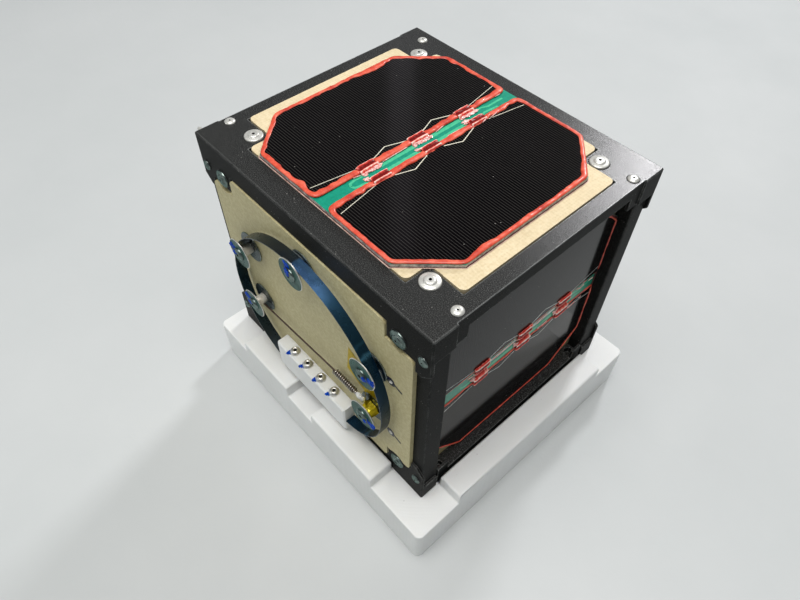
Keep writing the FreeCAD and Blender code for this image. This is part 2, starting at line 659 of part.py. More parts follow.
def make_screws():
    """The screws' heads, on the frame's face; the washer heads have a hexagon socket."""
    for face, rows in {"top": TOP_SCREWS, "front": SIDE_SCREWS, "back": SIDE_SCREWS}.items():
        heads = []
        for i, (kind, at_x, at_y) in enumerate(rows):
            head = disc(f"head_{face}_{i}", f"{kind}_radius", f"{kind}_height", at_x, at_y, "-board_proud")
            if kind == "big":
                socket = hexagon(f"socket_{face}_{i}", "socket_radius", "socket_depth + board_proud",
                                 at_x, at_y, "big_height - board_proud - socket_depth")
                head = cut(f"screw_{face}_{i}", head, socket)
            heads.append(head)
        part(f"screws_{face}", group(f"screw_set_{face}", *heads), face)


# ---------------------------------------------------------------- antenna
def arc_point(centre, radius, degrees):
    turn = math.radians(degrees)
    return FreeCAD.Vector(centre[0] + radius * math.cos(turn), centre[1] + radius * math.sin(turn), 0)


def strip_band(extra=0.0):
    """The bent strip: three arcs that meet in line, drawn on the front face and carried
    along the strip's width.  extra thickens it all round, for the slit that holds it."""
    main = (0.0, -size["loop_drop"])
    half = size["strip_thick"] / 2 + extra
    bends = []  # (centre, radius, start angle, stop angle), from the root to the tip
    for radius, start, stop, join in (
        (size["root_radius"], size["root_end"], size["root_join"], size["root_join"]),
        (size["loop_radius"], size["root_join"], size["tip_join"], size["tip_join"]),
        (size["tip_radius"], size["tip_join"], size["tip_end"], size["tip_join"]),
    ):
        centre = arc_point(main, size["loop_radius"] - radius, join)
        bends.append(((centre.x, centre.y), radius, start, stop))

    def side(shift, order):
        edges = []
        for centre, radius, start, stop in bends[::order]:
            angles = (start, (start + stop) / 2, stop)
            spots = [arc_point(centre, radius + shift, angle) for angle in angles]
            edges.append(Part.Arc(*spots[::order]).toShape())
        return edges

    def closing(bend, angle, order):
        ends = [arc_point(bend[0], bend[1] + shift, angle) for shift in (half, -half)]
        return [Part.LineSegment(*ends[::order]).toShape()]

    edges = side(half, 1) + closing(bends[-1], bends[-1][3], 1)
    edges += side(-half, -1) + closing(bends[0], bends[0][2], -1)
    face = Part.Face(Part.Wire(edges))
    band = face.extrude(FreeCAD.Vector(0, 0, size["strip_width"] + 2 * extra))
    band.translate(FreeCAD.Vector(0, 0, size["washer"] + size["strip_gap"] - extra))
    return band


def make_strip():
    strip = doc.addObject("Part::Feature", "strip_band")
    strip.Shape = strip_band()
    antenna_part("antenna_strip", strip)


GUIDES = (  # x and y of each guide post on the front face
    ("guide_top_x", "guide_top_z"),
    ("-guide_up_x", "guide_up_z"),
    ("guide_up_x", "guide_up_z"),
    ("-guide_low_x", "-guide_low_z"),
    ("guide_low_x", "-guide_low_z"),
)


def make_guides():
    """Five posts that hold the strip's bend: a spacer between two large washers, the strip
    running between the washers, and a screw through them."""
    cap = "(washer + strip_width + 2 * strip_gap)"
    spacers, washers, heads = [], [], []
    for i, (at_x, at_y) in enumerate(GUIDES):
        washers.append(disc(f"washer_in_{i}", "washer_radius", "washer", at_x, at_y, "0"))
        spacers.append(disc(f"spacer_{i}", "guide_radius", f"{cap} - washer", at_x, at_y, "washer"))
        washers.append(disc(f"washer_out_{i}", "washer_radius", "washer", at_x, at_y, cap))
        heads.append(disc(f"guide_head_{i}", "guide_head_radius", "guide_head_height", at_x, at_y,
                          f"{cap} + washer"))
    antenna_part("guide_spacers", *spacers)
    antenna_part("guide_washers", *washers)
    antenna_part("guide_screws", *heads)


def make_clamp():
    """The white block that grips the strip's fixed end, with four screws into its top."""
    clamp = body("clamp")
    plan = body_sketch(clamp, "clamp_plan", "XY_Plane")
    draw(plan, rectangle("-clamp_half", "clamp_half", "-clamp_drop - clamp_height", "-clamp_drop"))
    pad(clamp, "clamp_block", plan, "clamp_depth")
    front = value_of("clamp_depth")
    dress(clamp, "Chamfer", "clamp_edges", "clamp_edge", lambda edge: level(edge, front))
    slit = doc.addObject("Part::Feature", "clamp_slit_band")
    slit.Shape = strip_band(size["clamp_slit"])
    antenna_part("antenna_clamp", cut("clamp_with_slit", clamp, slit))
    heads = []
    for i in range(4):
        head = disc(f"clamp_head_{i}", "clamp_head_radius", "clamp_head_height",
                    f"({i} - 1.5) * clamp_pitch", "-clamp_drop", "clamp_depth / 2")
        head.Placement.Rotation = FreeCAD.Rotation(ALONG, -90)
        heads.append(head)
    antenna_part("clamp_screws", *heads)


def rod(name, start, stop, radius):
    """A straight round rod between two points of the front face."""
    axis = stop - start
    obj = doc.addObject("Part::Feature", name)
    obj.Shape = Part.makeCylinder(radius, axis.Length, start, axis)
    return obj


def make_hold_down():
    """The line that holds the stowed strip, from the lower left guide post to the lower
    right one, with the spring that keeps it tight."""
    lift = size["line_lift"]
    radius = size["line_radius"]
    beside = size["guide_radius"] + radius
    left = FreeCAD.Vector(-size["guide_low_x"], -size["guide_low_z"] - beside, lift)
    hook = FreeCAD.Vector(size["spring_from"], -size["line_drop"], lift)
    free = hook + FreeCAD.Vector(size["spring_length"], 0, 0)
    right = FreeCAD.Vector(size["guide_low_x"] - size["guide_radius"], -size["line_drop"], lift)
    lines = [rod("line_left", left, hook, radius), rod("line_right", free, right, radius)]
    antenna_part("hold_down_line", *lines)
    antenna_part("hold_down_spring", rod("spring_barrel", hook, free, size["spring_radius"]))


def make_stack():
    """The closed-in electronics, as one plain block between the end boards and the posts."""
    block = box("stack", "sat_length - 2 * (end_recess + board)", "sat_width - 2 * (skin + post_depth)",
                "sat_height - 2 * stack_edge", z=f"-({HALF_Z} - stack_edge)")
    part("electronics_stack", group("stack_set", block))


make_tray()
make_frame("top", UPRIGHT, "seat_height + sat_height", "tab_width", "tab_height")
make_frame("bottom", FreeCAD.Rotation(ALONG, 180), "seat_height", "foot_width", "foot_height")
make_posts()
make_boards()
for panel_face in PANELS:
    make_panel(panel_face)
make_screws()
make_strip()
make_guides()
make_clamp()
make_hold_down()
make_stack()
doc.recompute()

for obj in doc.Objects:
    if {"Invalid", "Error"} & set(obj.State):
        raise RuntimeError(f"{obj.Name} ({obj.Label}) failed: {obj.State}")
for node, obj in PARTS:
    if obj.Shape.isNull() or not obj.Shape.isValid():
        raise RuntimeError(f"{node} has no valid shape")

os.makedirs("parts", exist_ok=True)
for node, obj in PARTS:
    obj.Shape.exportStep(os.path.join("parts", node + ".step"))
    bounds = obj.Shape.BoundBox
    print(f"{node}: {len(obj.Shape.Solids)} solids, {obj.Shape.Volume:.1f} mm3, "
          f"x {bounds.XMin:.2f}..{bounds.XMax:.2f} y {bounds.YMin:.2f}..{bounds.YMax:.2f} "
          f"z {bounds.ZMin:.2f}..{bounds.ZMax:.2f}")
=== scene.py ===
# %% [markdown]
# # A one-unit cube satellite on its handling tray
#
# The satellite is a black metal frame with tan boards, dark solar cells that are sealed
# in red silicone, and a tape antenna that is bent round five posts on its front.  The
# frame of reference comes from the CAD model, in metres.  This lesson dresses the CAD
# nodes and replaces the ones that need softer or livelier shapes.

import math
import random

import bmesh
import bpy
from mathutils import Matrix, Vector, noise


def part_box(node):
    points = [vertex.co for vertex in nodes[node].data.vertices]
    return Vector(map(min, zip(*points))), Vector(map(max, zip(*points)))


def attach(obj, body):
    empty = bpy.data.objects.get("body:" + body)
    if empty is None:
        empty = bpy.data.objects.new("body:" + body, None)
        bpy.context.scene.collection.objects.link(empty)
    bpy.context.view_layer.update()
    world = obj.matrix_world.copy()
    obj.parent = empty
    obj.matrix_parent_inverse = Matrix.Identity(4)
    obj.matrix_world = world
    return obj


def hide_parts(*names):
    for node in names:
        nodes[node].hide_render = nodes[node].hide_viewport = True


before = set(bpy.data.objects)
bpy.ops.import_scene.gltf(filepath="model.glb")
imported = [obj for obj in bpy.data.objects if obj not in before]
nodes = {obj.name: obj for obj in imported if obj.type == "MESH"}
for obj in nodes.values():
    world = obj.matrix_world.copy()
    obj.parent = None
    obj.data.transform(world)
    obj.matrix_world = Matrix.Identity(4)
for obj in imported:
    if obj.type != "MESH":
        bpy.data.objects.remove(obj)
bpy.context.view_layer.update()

# %% [markdown]
# ## Six faces, six small frames
#
# Everything on the satellite sits on one of its faces.  It is easiest to draw a piece
# flat, in millimetres, with z coming out of the board, and to carry it to its face with
# one matrix.  The matrix ends up in the mesh, so each finished object stays unturned at
# the origin, as the CAD nodes do.

# %% Face matrices
MM = 0.001
frame_low, frame_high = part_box("frame_top")
foot_low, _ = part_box("frame_bottom")
CENTRE = Vector(((frame_low[0] + frame_high[0]) / 2, (frame_low[1] + frame_high[1]) / 2,
                 (foot_low[2] + frame_high[2]) / 2))
TURNS = {  # face: (turn from the top, its axis, its sign)
    "top": (Matrix.Identity(4), 2, 1),
    "bottom": (Matrix.Rotation(math.pi, 4, "Y"), 2, -1),
    "front": (Matrix.Rotation(math.pi / 2, 4, "X"), 1, -1),
    "back": (Matrix.Rotation(-math.pi / 2, 4, "X"), 1, 1),
    "right": (Matrix.Rotation(math.pi / 2, 4, "Y"), 0, 1),
    "left": (Matrix.Rotation(-math.pi / 2, 4, "Y"), 0, -1),
}


def face_matrix(face):
    """From millimetres on a face, z outwards from its board, to the shared frame."""
    turn, axis, sign = TURNS[face]
    low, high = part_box("board_" + face)
    spot = CENTRE.copy()
    spot[axis] = high[axis] if sign > 0 else low[axis]
    return Matrix.Translation(spot) @ turn @ Matrix.Scale(MM, 4)


print("centre of the satellite:", [round(c, 5) for c in CENTRE])

# %% [markdown]
# ## The camera, the floor and the light
#
# The camera looks down on the near corner.  It is given by where it stands, what it
# looks at, a small roll and its lens.  The floor is plain and pale, and a large soft
# lamp overhead stands for a workshop ceiling.  A window far behind throws a sheen on the
# frame's right corner, a weaker lamp opens the shadows on the near side, and a narrow
# one leaves a faint streak in the glass of the cells.

# %% Camera
LENS = 28.99
EYE = Vector((0.114632, -0.116662, 0.251387))
AIM = Vector((0.008446, -0.019273, 0.070))
ROLL = 0.010284


def into_scene(name, data):
    obj = bpy.data.objects.new(name, data)
    bpy.context.scene.collection.objects.link(obj)
    return obj


def aim_camera(eye, aim, roll, lens):
    forward = (aim - eye).normalized()
    side = forward.cross(Vector((0, 0, 1))).normalized()
    rise = side.cross(forward)
    across = math.cos(roll) * side + math.sin(roll) * rise
    up = math.cos(roll) * rise - math.sin(roll) * side
    data = bpy.data.cameras.new("camera")
    data.lens, data.sensor_width, data.clip_start = lens, 36.0, 0.01
    camera = into_scene("camera", data)
    camera.matrix_world = Matrix.Translation(eye) @ Matrix((across, up, -forward)).transposed().to_4x4()
    bpy.context.scene.camera = camera
    return camera


camera = aim_camera(EYE, AIM, ROLL, LENS)
print("camera:", [round(c, 4) for c in camera.matrix_world.translation])


# %% Lamps and world
def lamp(name, spot, aim, size, power, colour):
    """A rectangular lamp at a spot, turned towards a point."""
    data = bpy.data.lights.new(name, "AREA")
    data.shape = "RECTANGLE"
    data.size, data.size_y = size
    data.energy, data.color = power, colour
    turn = (Vector(aim) - Vector(spot)).to_track_quat("-Z", "Y").to_matrix().to_4x4()
    into_scene(name, data).matrix_world = Matrix.Translation(spot) @ turn


LAMPS = (  # name, spot, what it looks at, size, power, colour
    ("ceiling lamp", (0.06, -0.16, 1.14), (0, 0, 0.06), (0.75, 0.7), 11.8, (1.0, 0.985, 0.96)),
    ("window", (-0.30, 1.045, 0.90), (0.05, 0, 0.1), (0.17, 0.20), 7.4, (0.98, 0.98, 1.0)),
    ("front lamp", (-0.6, -1.1, 0.5), (0, 0, 0.06), (0.8, 0.6), 2.1, (0.96, 1.0, 0.97)),
    ("far strip", (-0.80, 0.72, 0.9), (0, 0, 0.1), (0.06, 0.62), 0.085, (0.95, 0.90, 1.0)),
)
for row in LAMPS:
    lamp(*row)
world = bpy.data.worlds.new("studio")
bpy.context.scene.world = world
world.use_nodes = True
sky = world.node_tree.nodes["Background"].inputs
sky["Color"].default_value = (0.80, 0.86, 0.90, 1)
sky["Strength"].default_value = 0.22
bpy.context.scene.view_settings.view_transform = "Standard"
print("lamps:", len(bpy.data.lights))

# %% [markdown]
# ## Building materials out of nodes
#
# A few short helpers keep the material cells readable.  `put` sets a socket, or links
# it when it is given another socket, and `feed` does so by name.  `add` makes a node
# and `new_material` a Principled material.  Coordinates are always the object's own.


# %% Node helpers
def put(value, socket):
    """Links a socket to another one, or gives it a number or a colour."""
    if isinstance(value, bpy.types.NodeSocket):
        socket.id_data.links.new(value, socket)
    elif isinstance(value, tuple) and len(value) < len(socket.default_value):
        socket.default_value = (*value, 1)
    else:
        socket.default_value = value


def feed(node, **values):
    """Fills sockets by name; an underscore stands for a space."""
    for name, value in values.items():
        put(value, node.inputs[name.replace("_", " ")])
    return node


def add(tree, kind, settings=None, **inputs):
    node = tree.nodes.new("ShaderNode" + kind)
    for name, value in (settings or {}).items():
        setattr(node, name, value)
    return feed(node, **inputs)


def here(tree):
    """Where a point is on its own object, in metres."""
    return add(tree, "TexCoord").outputs["Object"]


def axes(vector):
    """The X, Y and Z of a vector socket."""
    return add(vector.id_data, "SeparateXYZ", Vector=vector).outputs


def field(tree, **inputs):
    """The outputs of a noise over the object."""
    return add(tree, "TexNoise", Vector=here(tree), **inputs).outputs


def ramp(source, stops):
    """A colour ramp fed by a socket; stops are (position, colour)."""
    node = add(source.id_data, "ValToRGB", Fac=source)
    elements = node.color_ramp.elements
    while len(elements) < len(stops):
        elements.new(0.5)
    for element, (position, colour) in zip(elements, stops):
        element.position = position
        element.color = (*colour, 1)
    return node.outputs["Color"]


def blend(mask, first, second):
    """Mixes two colours, or sockets, by a mask."""
    node = add(mask.id_data, "Mix", {"data_type": "RGBA"})
    for number, value in ((0, mask), (6, first), (7, second)):
        put(value, node.inputs[number])
    return node.outputs[2]


def maths(operation, *values):
    tree = next(value.id_data for value in values if isinstance(value, bpy.types.NodeSocket))
    node = add(tree, "Math", {"operation": operation})
    for value, socket in zip(values, node.inputs):
        put(value, socket)
    return node.outputs[0]


def span(source, low, high, to_low=0.0, to_high=1.0):
    """Maps a range of a value to another range."""
    return add(source.id_data, "MapRange", Value=source, From_Min=low, From_Max=high,
               To_Min=to_low, To_Max=to_high).outputs["Result"]


def vary(source, low=0.0, high=1.0):
    """Maps a noise, which fills about 0.3 to 0.7, to a range of its own."""
    return span(source, 0.3, 0.7, low, high)


def share(mask, most):
    """A mask from 0 to 1, made weaker."""
    return span(mask, 0, 1, 0, most)


def bump(shader, height, distance, strength):
    relief = add(shader.id_data, "Bump", Height=height, Distance=distance, Strength=strength)
    feed(shader, Normal=relief.outputs["Normal"])


def new_material(name, colour, roughness, **sockets):
    material = bpy.data.materials.new(name)
    material.use_nodes = True
    shader = material.node_tree.nodes["Principled BSDF"]
    feed(shader, Base_Color=colour, Roughness=roughness, **sockets)
    material.diffuse_color = (*colour, 1)
    return material, material.node_tree, shader


print("node helpers ready")

# %% [markdown]
# ## Shared effects as node groups
#
# Worn edges, fine grain, dust and the glass-fibre weave each turn up in several
# finishes.  A node group with named sockets is built once and placed with its own
# values.  The groups only put out masks and heights; the shaders stay in the materials.


# %% A group builder
def group_tree(name, inputs, outputs):
    """A new shader group; inputs are (name, default), outputs are names of floats."""
    tree = bpy.data.node_groups.new(name, "ShaderNodeTree")
    for label, value in inputs:
        socket = tree.interface.new_socket(label, in_out="INPUT", socket_type="NodeSocketFloat")
        socket.default_value = value
    for label in outputs:
        tree.interface.new_socket(label, in_out="OUTPUT", socket_type="NodeSocketFloat")
    return tree, tree.nodes.new("NodeGroupInput").outputs, tree.nodes.new("NodeGroupOutput")


def place(tree, group, **inputs):
    """The outputs of a group that is placed with its own values."""
    return add(tree, "Group", {"node_tree": group}, **inputs).outputs


# %% Worn edges
def make_worn_edges():
    """White where a surface turns a corner, broken up by noise: the Bevel node rounds
    the normal near an edge, and the mask is how far that differs from the true one."""
    tree, given, result = group_tree("worn edges", [("Width", 0.0004), ("Break", 900.0)], ["Turn", "Mask"])
    rounded = add(tree, "Bevel", {"samples": 4}, Radius=given["Width"])
    alike = add(tree, "VectorMath", {"operation": "DOT_PRODUCT"})
    for node, socket in zip((rounded, add(tree, "NewGeometry")), alike.inputs):
        put(node.outputs["Normal"], socket)
    turn = span(alike.outputs["Value"], 0.99, 0.90)
    patches = field(tree, Scale=given["Break"], Detail=4.0, Roughness=0.7)
    feed(result, Turn=turn, Mask=maths("MULTIPLY", turn, span(patches["Fac"], 0.38, 0.56)))
    return tree


# %% Grain
def make_grain():
    """Fine, even grain for blasted metal and plastic, with broad cloudy patches."""
    tree, given, result = group_tree("grain", [("Fine", 4000.0), ("Broad", 40.0)], ["Grain", "Clouds"])
    feed(result, Grain=field(tree, Scale=given["Fine"], Detail=3.0, Roughness=0.6)["Fac"],
         Clouds=field(tree, Scale=given["Broad"], Detail=5.0, Roughness=0.6)["Fac"])
    return tree


# %% Dust
def make_dust():
    """Scattered specks: the middles of small Voronoi cells, thinned out by noise."""
    tree, given, result = group_tree("dust", [("Scale", 500.0), ("Speck", 0.12)], ["Mask"])
    cells = add(tree, "TexVoronoi", Vector=here(tree), Scale=given["Scale"], Randomness=1.0)
    near = maths("LESS_THAN", cells.outputs["Distance"], given["Speck"])
    kept = span(field(tree, Scale=260.0, Detail=2.0)["Fac"], 0.58, 0.64)
    feed(result, Mask=maths("MULTIPLY", near, kept))
    return tree


# %% Weave
def make_weave():
    """Crossed threads: waves along all three axes, so that it works on any face of a
    board, with a little noise so that the threads don't run like a grating."""
    tree, given, result = group_tree("laminate weave", [("Pitch", 0.001), ("Wander", 0.0006)],
                                     ["Thread", "Mottle"])
    shift = add(tree, "VectorMath", {"operation": "SCALE"}, Scale=given["Wander"])
    put(field(tree, Scale=180.0, Detail=2.0)["Color"], shift.inputs[0])
    moved = add(tree, "VectorMath", {"operation": "ADD"})
    for value, socket in zip((here(tree), shift.outputs["Vector"]), moved.inputs):
        put(value, socket)
    parts = axes(moved.outputs["Vector"])
    turns = maths("DIVIDE", 2 * math.pi, given["Pitch"])
    waves = [maths("SINE", maths("MULTIPLY", parts[axis], turns)) for axis in "XYZ"]
    total = maths("ADD", maths("ADD", waves[0], waves[1]), waves[2])
    mottle = field(tree, Scale=900.0, Detail=5.0, Roughness=0.7)
    feed(result, Thread=span(total, -2.0, 2.0), Mottle=mottle["Fac"])
    return tree


WORN_EDGES, GRAIN, DUST, WEAVE = make_worn_edges(), make_grain(), make_dust(), make_weave()
print("node groups:", sorted(group.name for group in bpy.data.node_groups))

# %% [markdown]
# ## Black anodised metal
#
# The frames and posts are aluminium, dyed black.  The dye leaves a fine sparkle, handling
# rubs the edges to bare metal in patches, and a little dust settles on top.  The top edges
# carry a painted highlight.  The flat upward plates of the two frames take a lighter copy
# of the finish, which is painted light, with more sparkle and a stronger sheen than the
# sides; the green tint of the sides' sheen is a painted reflection.


# %% Black anodised
TOP_EDGE_LIGHT_HEIGHTS = (0.1188, 0.1198)  # the heights, in metres, between which the painted highlight on the edges sets in


def make_anodised(name, depth, sparkle, sheen, gloss, tint):
    """The upper edges are painted grey, a highlight where they face the light from above; all edges are also
    rubbed bare in patches.
    """
    material, tree, shader = new_material(name, (0.016, 0.018, 0.017), 0.42,
                                          Specular_IOR_Level=gloss, Specular_Tint=tint)
    grain = place(tree, GRAIN, Fine=3800.0, Broad=60.0)
    worn = place(tree, WORN_EDGES, Width=0.00062, Break=260.0)
    dust = place(tree, DUST, Scale=700.0, Speck=0.11)
    near_top = span(axes(here(tree))["Z"], *TOP_EDGE_LIGHT_HEIGHTS, 0.14, 0.8)
    tone = ramp(grain["Grain"], [(0.36, (0.4 * depth, 0.4 * depth, 0.39 * depth)),
                                 (0.52, (depth, 1.02 * depth, 0.98 * depth)),
                                 (0.70, (sparkle, sparkle, 0.97 * sparkle))])
    cloudy = blend(vary(grain["Clouds"], 0.0, 0.35), tone, (1.4 * depth, 1.45 * depth, 1.4 * depth))
    # painted highlight: the edges near the top turn grey
    top_edge_highlight = blend(maths("MULTIPLY", worn["Turn"], near_top), cloudy, (0.21, 0.22, 0.22))
    rubbed = blend(share(worn["Mask"], 0.35), top_edge_highlight, (0.50, 0.50, 0.48))
    dusty = blend(share(dust["Mask"], 0.5), rubbed, (0.45, 0.44, 0.42))
    feed(shader, Base_Color=dusty, Metallic=share(worn["Mask"], 0.4),
         Roughness=vary(grain["Grain"], sheen - 0.05, sheen + 0.05))
    bump(shader, grain["Grain"], 0.00004, 0.8)
    return material


# The sides' finish has a painted green reflection in its sheen tint; the lighter copy for the upward plates is
# painted light.
ANODISED = make_anodised("black_anodised", 0.011, 0.050, 0.41, 0.02, (0.86, 1.0, 0.98))
TOP_LIT_ANODISED = make_anodised("anodised_top_painted_light", 0.018, 0.120, 0.25, 0.36, (1.0, 0.985, 0.98))

# %% [markdown]
# ## Tan glass-fibre board
#
# The boards are bare laminate: crossed threads under a dull resin skin, with a mottled
# straw colour.  The cut edges show the same cloth from the side.  The boards on the four
# sides take a darker, yellower copy, and its darkness is painted shade.


# %% Glass-fibre
def make_laminate(name, tint, pitch, blotch, gloss):
    """The tint darkens or yellows the straw colour; the darker copy on the side boards is painted shade."""
    def straw_tone(*colour):
        return tuple(c * t for c, t in zip(colour, tint))

    material, tree, shader = new_material(name, straw_tone(0.60, 0.50, 0.31), 0.55, Specular_IOR_Level=gloss)
    weave = place(tree, WEAVE, Pitch=pitch, Wander=0.0016)
    grain = place(tree, GRAIN, Fine=1600.0, Broad=45.0)
    straw = ramp(weave["Thread"], [(0.1, straw_tone(0.625, 0.52, 0.325)), (0.9, straw_tone(0.70, 0.59, 0.385))])
    mottled = blend(span(weave["Mottle"], 0.42, 0.62, 0.0, blotch), straw, straw_tone(0.84, 0.74, 0.54))
    stained = blend(span(grain["Clouds"], 0.45, 0.75, 0.0, 0.35), mottled, straw_tone(0.54, 0.44, 0.28))
    feed(shader, Base_Color=stained, Roughness=vary(weave["Mottle"], 0.48, 0.66))
    bump(shader, maths("ADD", weave["Thread"], maths("MULTIPLY", grain["Grain"], 0.6)), 0.00005, 0.7)
    return material


LAMINATE = make_laminate("glass_fibre", (0.98, 0.965, 0.94), 0.0011, 0.5, 0.25)
# The side boards' darker copy is painted shade.
SIDE_LAMINATE_SHADED = make_laminate("glass_fibre_side_painted_shade", (0.74, 0.77, 0.62), 0.0008, 0.75, 0.5)

# %% [markdown]
# ## Solar cells under cover glass
#
# A cell is nearly black, ruled with hair-thin metal fingers about a millimetre apart,
# and its glass mirrors the room.  The fingers run from the wiring strip to the cell's
# outer edge, so the pattern needs to know which axis it is counted along.


# %% Solar cell
FINGER_PITCH = 0.00094


def make_cell(name, axis):
    material, tree, shader = new_material(name, (0.003, 0.0026, 0.003), 0.10, IOR=1.17)
    saw = maths("PINGPONG", maths("DIVIDE", axes(here(tree))[axis], FINGER_PITCH), 0.5)
    dust = place(tree, DUST, Scale=420.0, Speck=0.07)
    grain = place(tree, GRAIN, Fine=900.0, Broad=30.0)
    dark = blend(span(grain["Clouds"], 0.35, 0.65), (0.0010, 0.0008, 0.0010), (0.0028, 0.0023, 0.0026))
    ruled = blend(share(span(saw, 0.12, 0.04), 0.9), dark, (0.046, 0.043, 0.040))
    dusty = blend(share(dust["Mask"], 0.45), ruled, (0.5, 0.48, 0.44))
    feed(shader, Base_Color=dusty, Roughness=span(dust["Mask"], 0, 1, 0.10, 0.5))
    return material


CELL_ALONG_Y = make_cell("solar_cell", "Y")
CELL_ALONG_Z = make_cell("solar_cell_upright", "Z")

# %% [markdown]
# ## Red silicone
#
# The sealant is laid by hand.  It is an orange red, smooth and slightly glossy, darker
# where it is thin, with small streaks.


# %% Sealant and coated clips
def make_silicone():
    material, tree, shader = new_material(
        "red_sealant", (0.62, 0.075, 0.035), 0.34, Coat_Weight=0.2, Coat_Roughness=0.18,
        Subsurface_Weight=0.12, Subsurface_Scale=0.0006, Subsurface_Radius=(1.0, 0.25, 0.15))
    clouds = place(tree, GRAIN, Fine=1500.0, Broad=260.0)["Clouds"]
    tone = ramp(clouds, [(0.30, (0.46, 0.036, 0.022)), (0.50, (0.68, 0.078, 0.036)), (0.72, (0.80, 0.17, 0.10))])
    feed(shader, Base_Color=tone, Roughness=vary(clouds, 0.32, 0.52))
    bump(shader, clouds, 0.00025, 0.6)
    return material


def make_coated():
    """A thin metal clip dipped in the same red.  The 'coat_and_shade' attribute is 1 along
    the raised rims, a painted highlight, and -1 down in the channel, which is painted shade."""
    material, tree, shader = new_material("coated_clip", (0.5, 0.05, 0.035), 0.26, Specular_IOR_Level=0.25)
    coat_and_shade = add(tree, "Attribute", {"attribute_name": "coat_and_shade"}).outputs["Fac"]
    grain = place(tree, GRAIN, Fine=1800.0, Broad=700.0)
    patchy = maths("ADD", coat_and_shade, vary(grain["Clouds"], -0.38, 0.38))
    tone = ramp(span(patchy, -1, 1), [(0.10, (0.15, 0.004, 0.003)), (0.34, (0.42, 0.020, 0.014)),
                                      (0.60, (0.74, 0.070, 0.052)), (0.80, (0.92, 0.36, 0.29)),
                                      (0.95, (0.98, 0.76, 0.68))])
    feed(shader, Base_Color=tone, Roughness=vary(grain["Grain"], 0.15, 0.35))
    bump(shader, grain["Clouds"], 0.00015, 0.7)
    return material


SILICONE = make_silicone()
COATED = make_coated()

# %% [markdown]
# ## Metals
#
# Screws, washers and posts are stainless, rubbed and finely scratched.  The hardware on
# the front and back gets darker, teal copies of the steel: painted shade and a painted
# reflection, with painted highlights on the washers' rims.  The antenna is blued spring
# tape: blue-black, with paler smears where fingers have held it, and a bright blue band
# and thin light crease lines that are painted sheen.


# %% Stainless, wire and blued steel
def make_metal(name, dull, bright, rough, **sockets):
    material, tree, shader = new_material(name, bright, rough, Metallic=1.0, **sockets)
    grain = place(tree, GRAIN, Fine=2200.0, Broad=500.0)
    worn = place(tree, WORN_EDGES, Width=0.0001, Break=300.0)
    rimmed = blend(share(worn["Turn"], 0.7), blend(vary(grain["Clouds"]), dull, bright), (0.92, 0.91, 0.88))
    feed(shader, Base_Color=rimmed, Roughness=vary(grain["Clouds"], rough + 0.1, rough - 0.06))
    bump(shader, grain["Grain"], 0.00002, 0.6)
    return material


STAINLESS = make_metal("stainless", (0.55, 0.54, 0.51), (0.82, 0.80, 0.76), 0.36)
# A darker copy of stainless with a teal sheen tint, for hardware on the front and back: painted shade and a
# painted teal reflection.
SHADE_TEAL_STEEL = make_metal("stainless_painted_shade", (0.09, 0.12, 0.11), (0.24, 0.29, 0.275), 0.26,
                    Specular_Tint=(0.5, 0.6, 0.58))
# The inner washers' near-black teal is painted shade and a painted reflection.
DEEP_SHADE_STEEL = make_metal("steel_painted_deep_shade", (0.014, 0.030, 0.030), (0.060, 0.095, 0.092), 0.28)
WIRE = make_metal("spring_wire", (0.16, 0.14, 0.12), (0.50, 0.46, 0.40), 0.28)


def make_tape():
    """The colour changes along the tape as X grows, from left to right: dark blued steel, then a bright blue
    band, which is painted sheen, and two thin light lines, which are painted highlights on creases.
    """
    material, tree, shader = new_material("blued_steel", (0.02, 0.035, 0.05), 0.30, Metallic=0.75)
    grain = place(tree, GRAIN, Fine=2600.0, Broad=140.0)
    worn = place(tree, WORN_EDGES, Width=0.00009, Break=500.0)
    ragged = maths("ADD", axes(here(tree))["X"], vary(grain["Clouds"], -0.0008, 0.0008))
    # painted sheen and painted crease highlights, laid along X
    steel_and_sheen = ramp(span(ragged, -0.045, 0.040), [
        (0.00, (0.010, 0.036, 0.052)), (0.16, (0.026, 0.036, 0.044)), (0.497, (0.034, 0.042, 0.050)),
        (0.509, (0.085, 0.200, 0.420)), (0.560, (0.075, 0.170, 0.370)), (0.70, (0.012, 0.052, 0.105)),
        (0.838, (0.003, 0.026, 0.056)), (0.845, (0.012, 0.062, 0.120)), (0.852, (0.003, 0.026, 0.060)),
        (0.868, (0.003, 0.026, 0.060)), (0.877, (0.060, 0.200, 0.36)), (0.890, (0.003, 0.026, 0.060))])
    tone = blend(span(grain["Clouds"], 0.45, 0.72, 0.0, 0.5), steel_and_sheen, (0.012, 0.050, 0.090))
    rubbed = blend(share(worn["Mask"], 0.6), tone, (0.35, 0.40, 0.44))
    feed(shader, Base_Color=rubbed, Roughness=vary(grain["Clouds"], 0.36, 0.22))
    bump(shader, grain["Grain"], 0.00002, 0.5)
    return material


TAPE = make_tape()

# %% [markdown]
# ## Plastics, film and ink
#
# The tray and the antenna's clamp are milled from a soft white plastic.  It lets a
# little light in, so its edges glow, and it carries grey scuffs and faint tool marks.
# Everything smaller is two tones of one colour in cloudy patches.


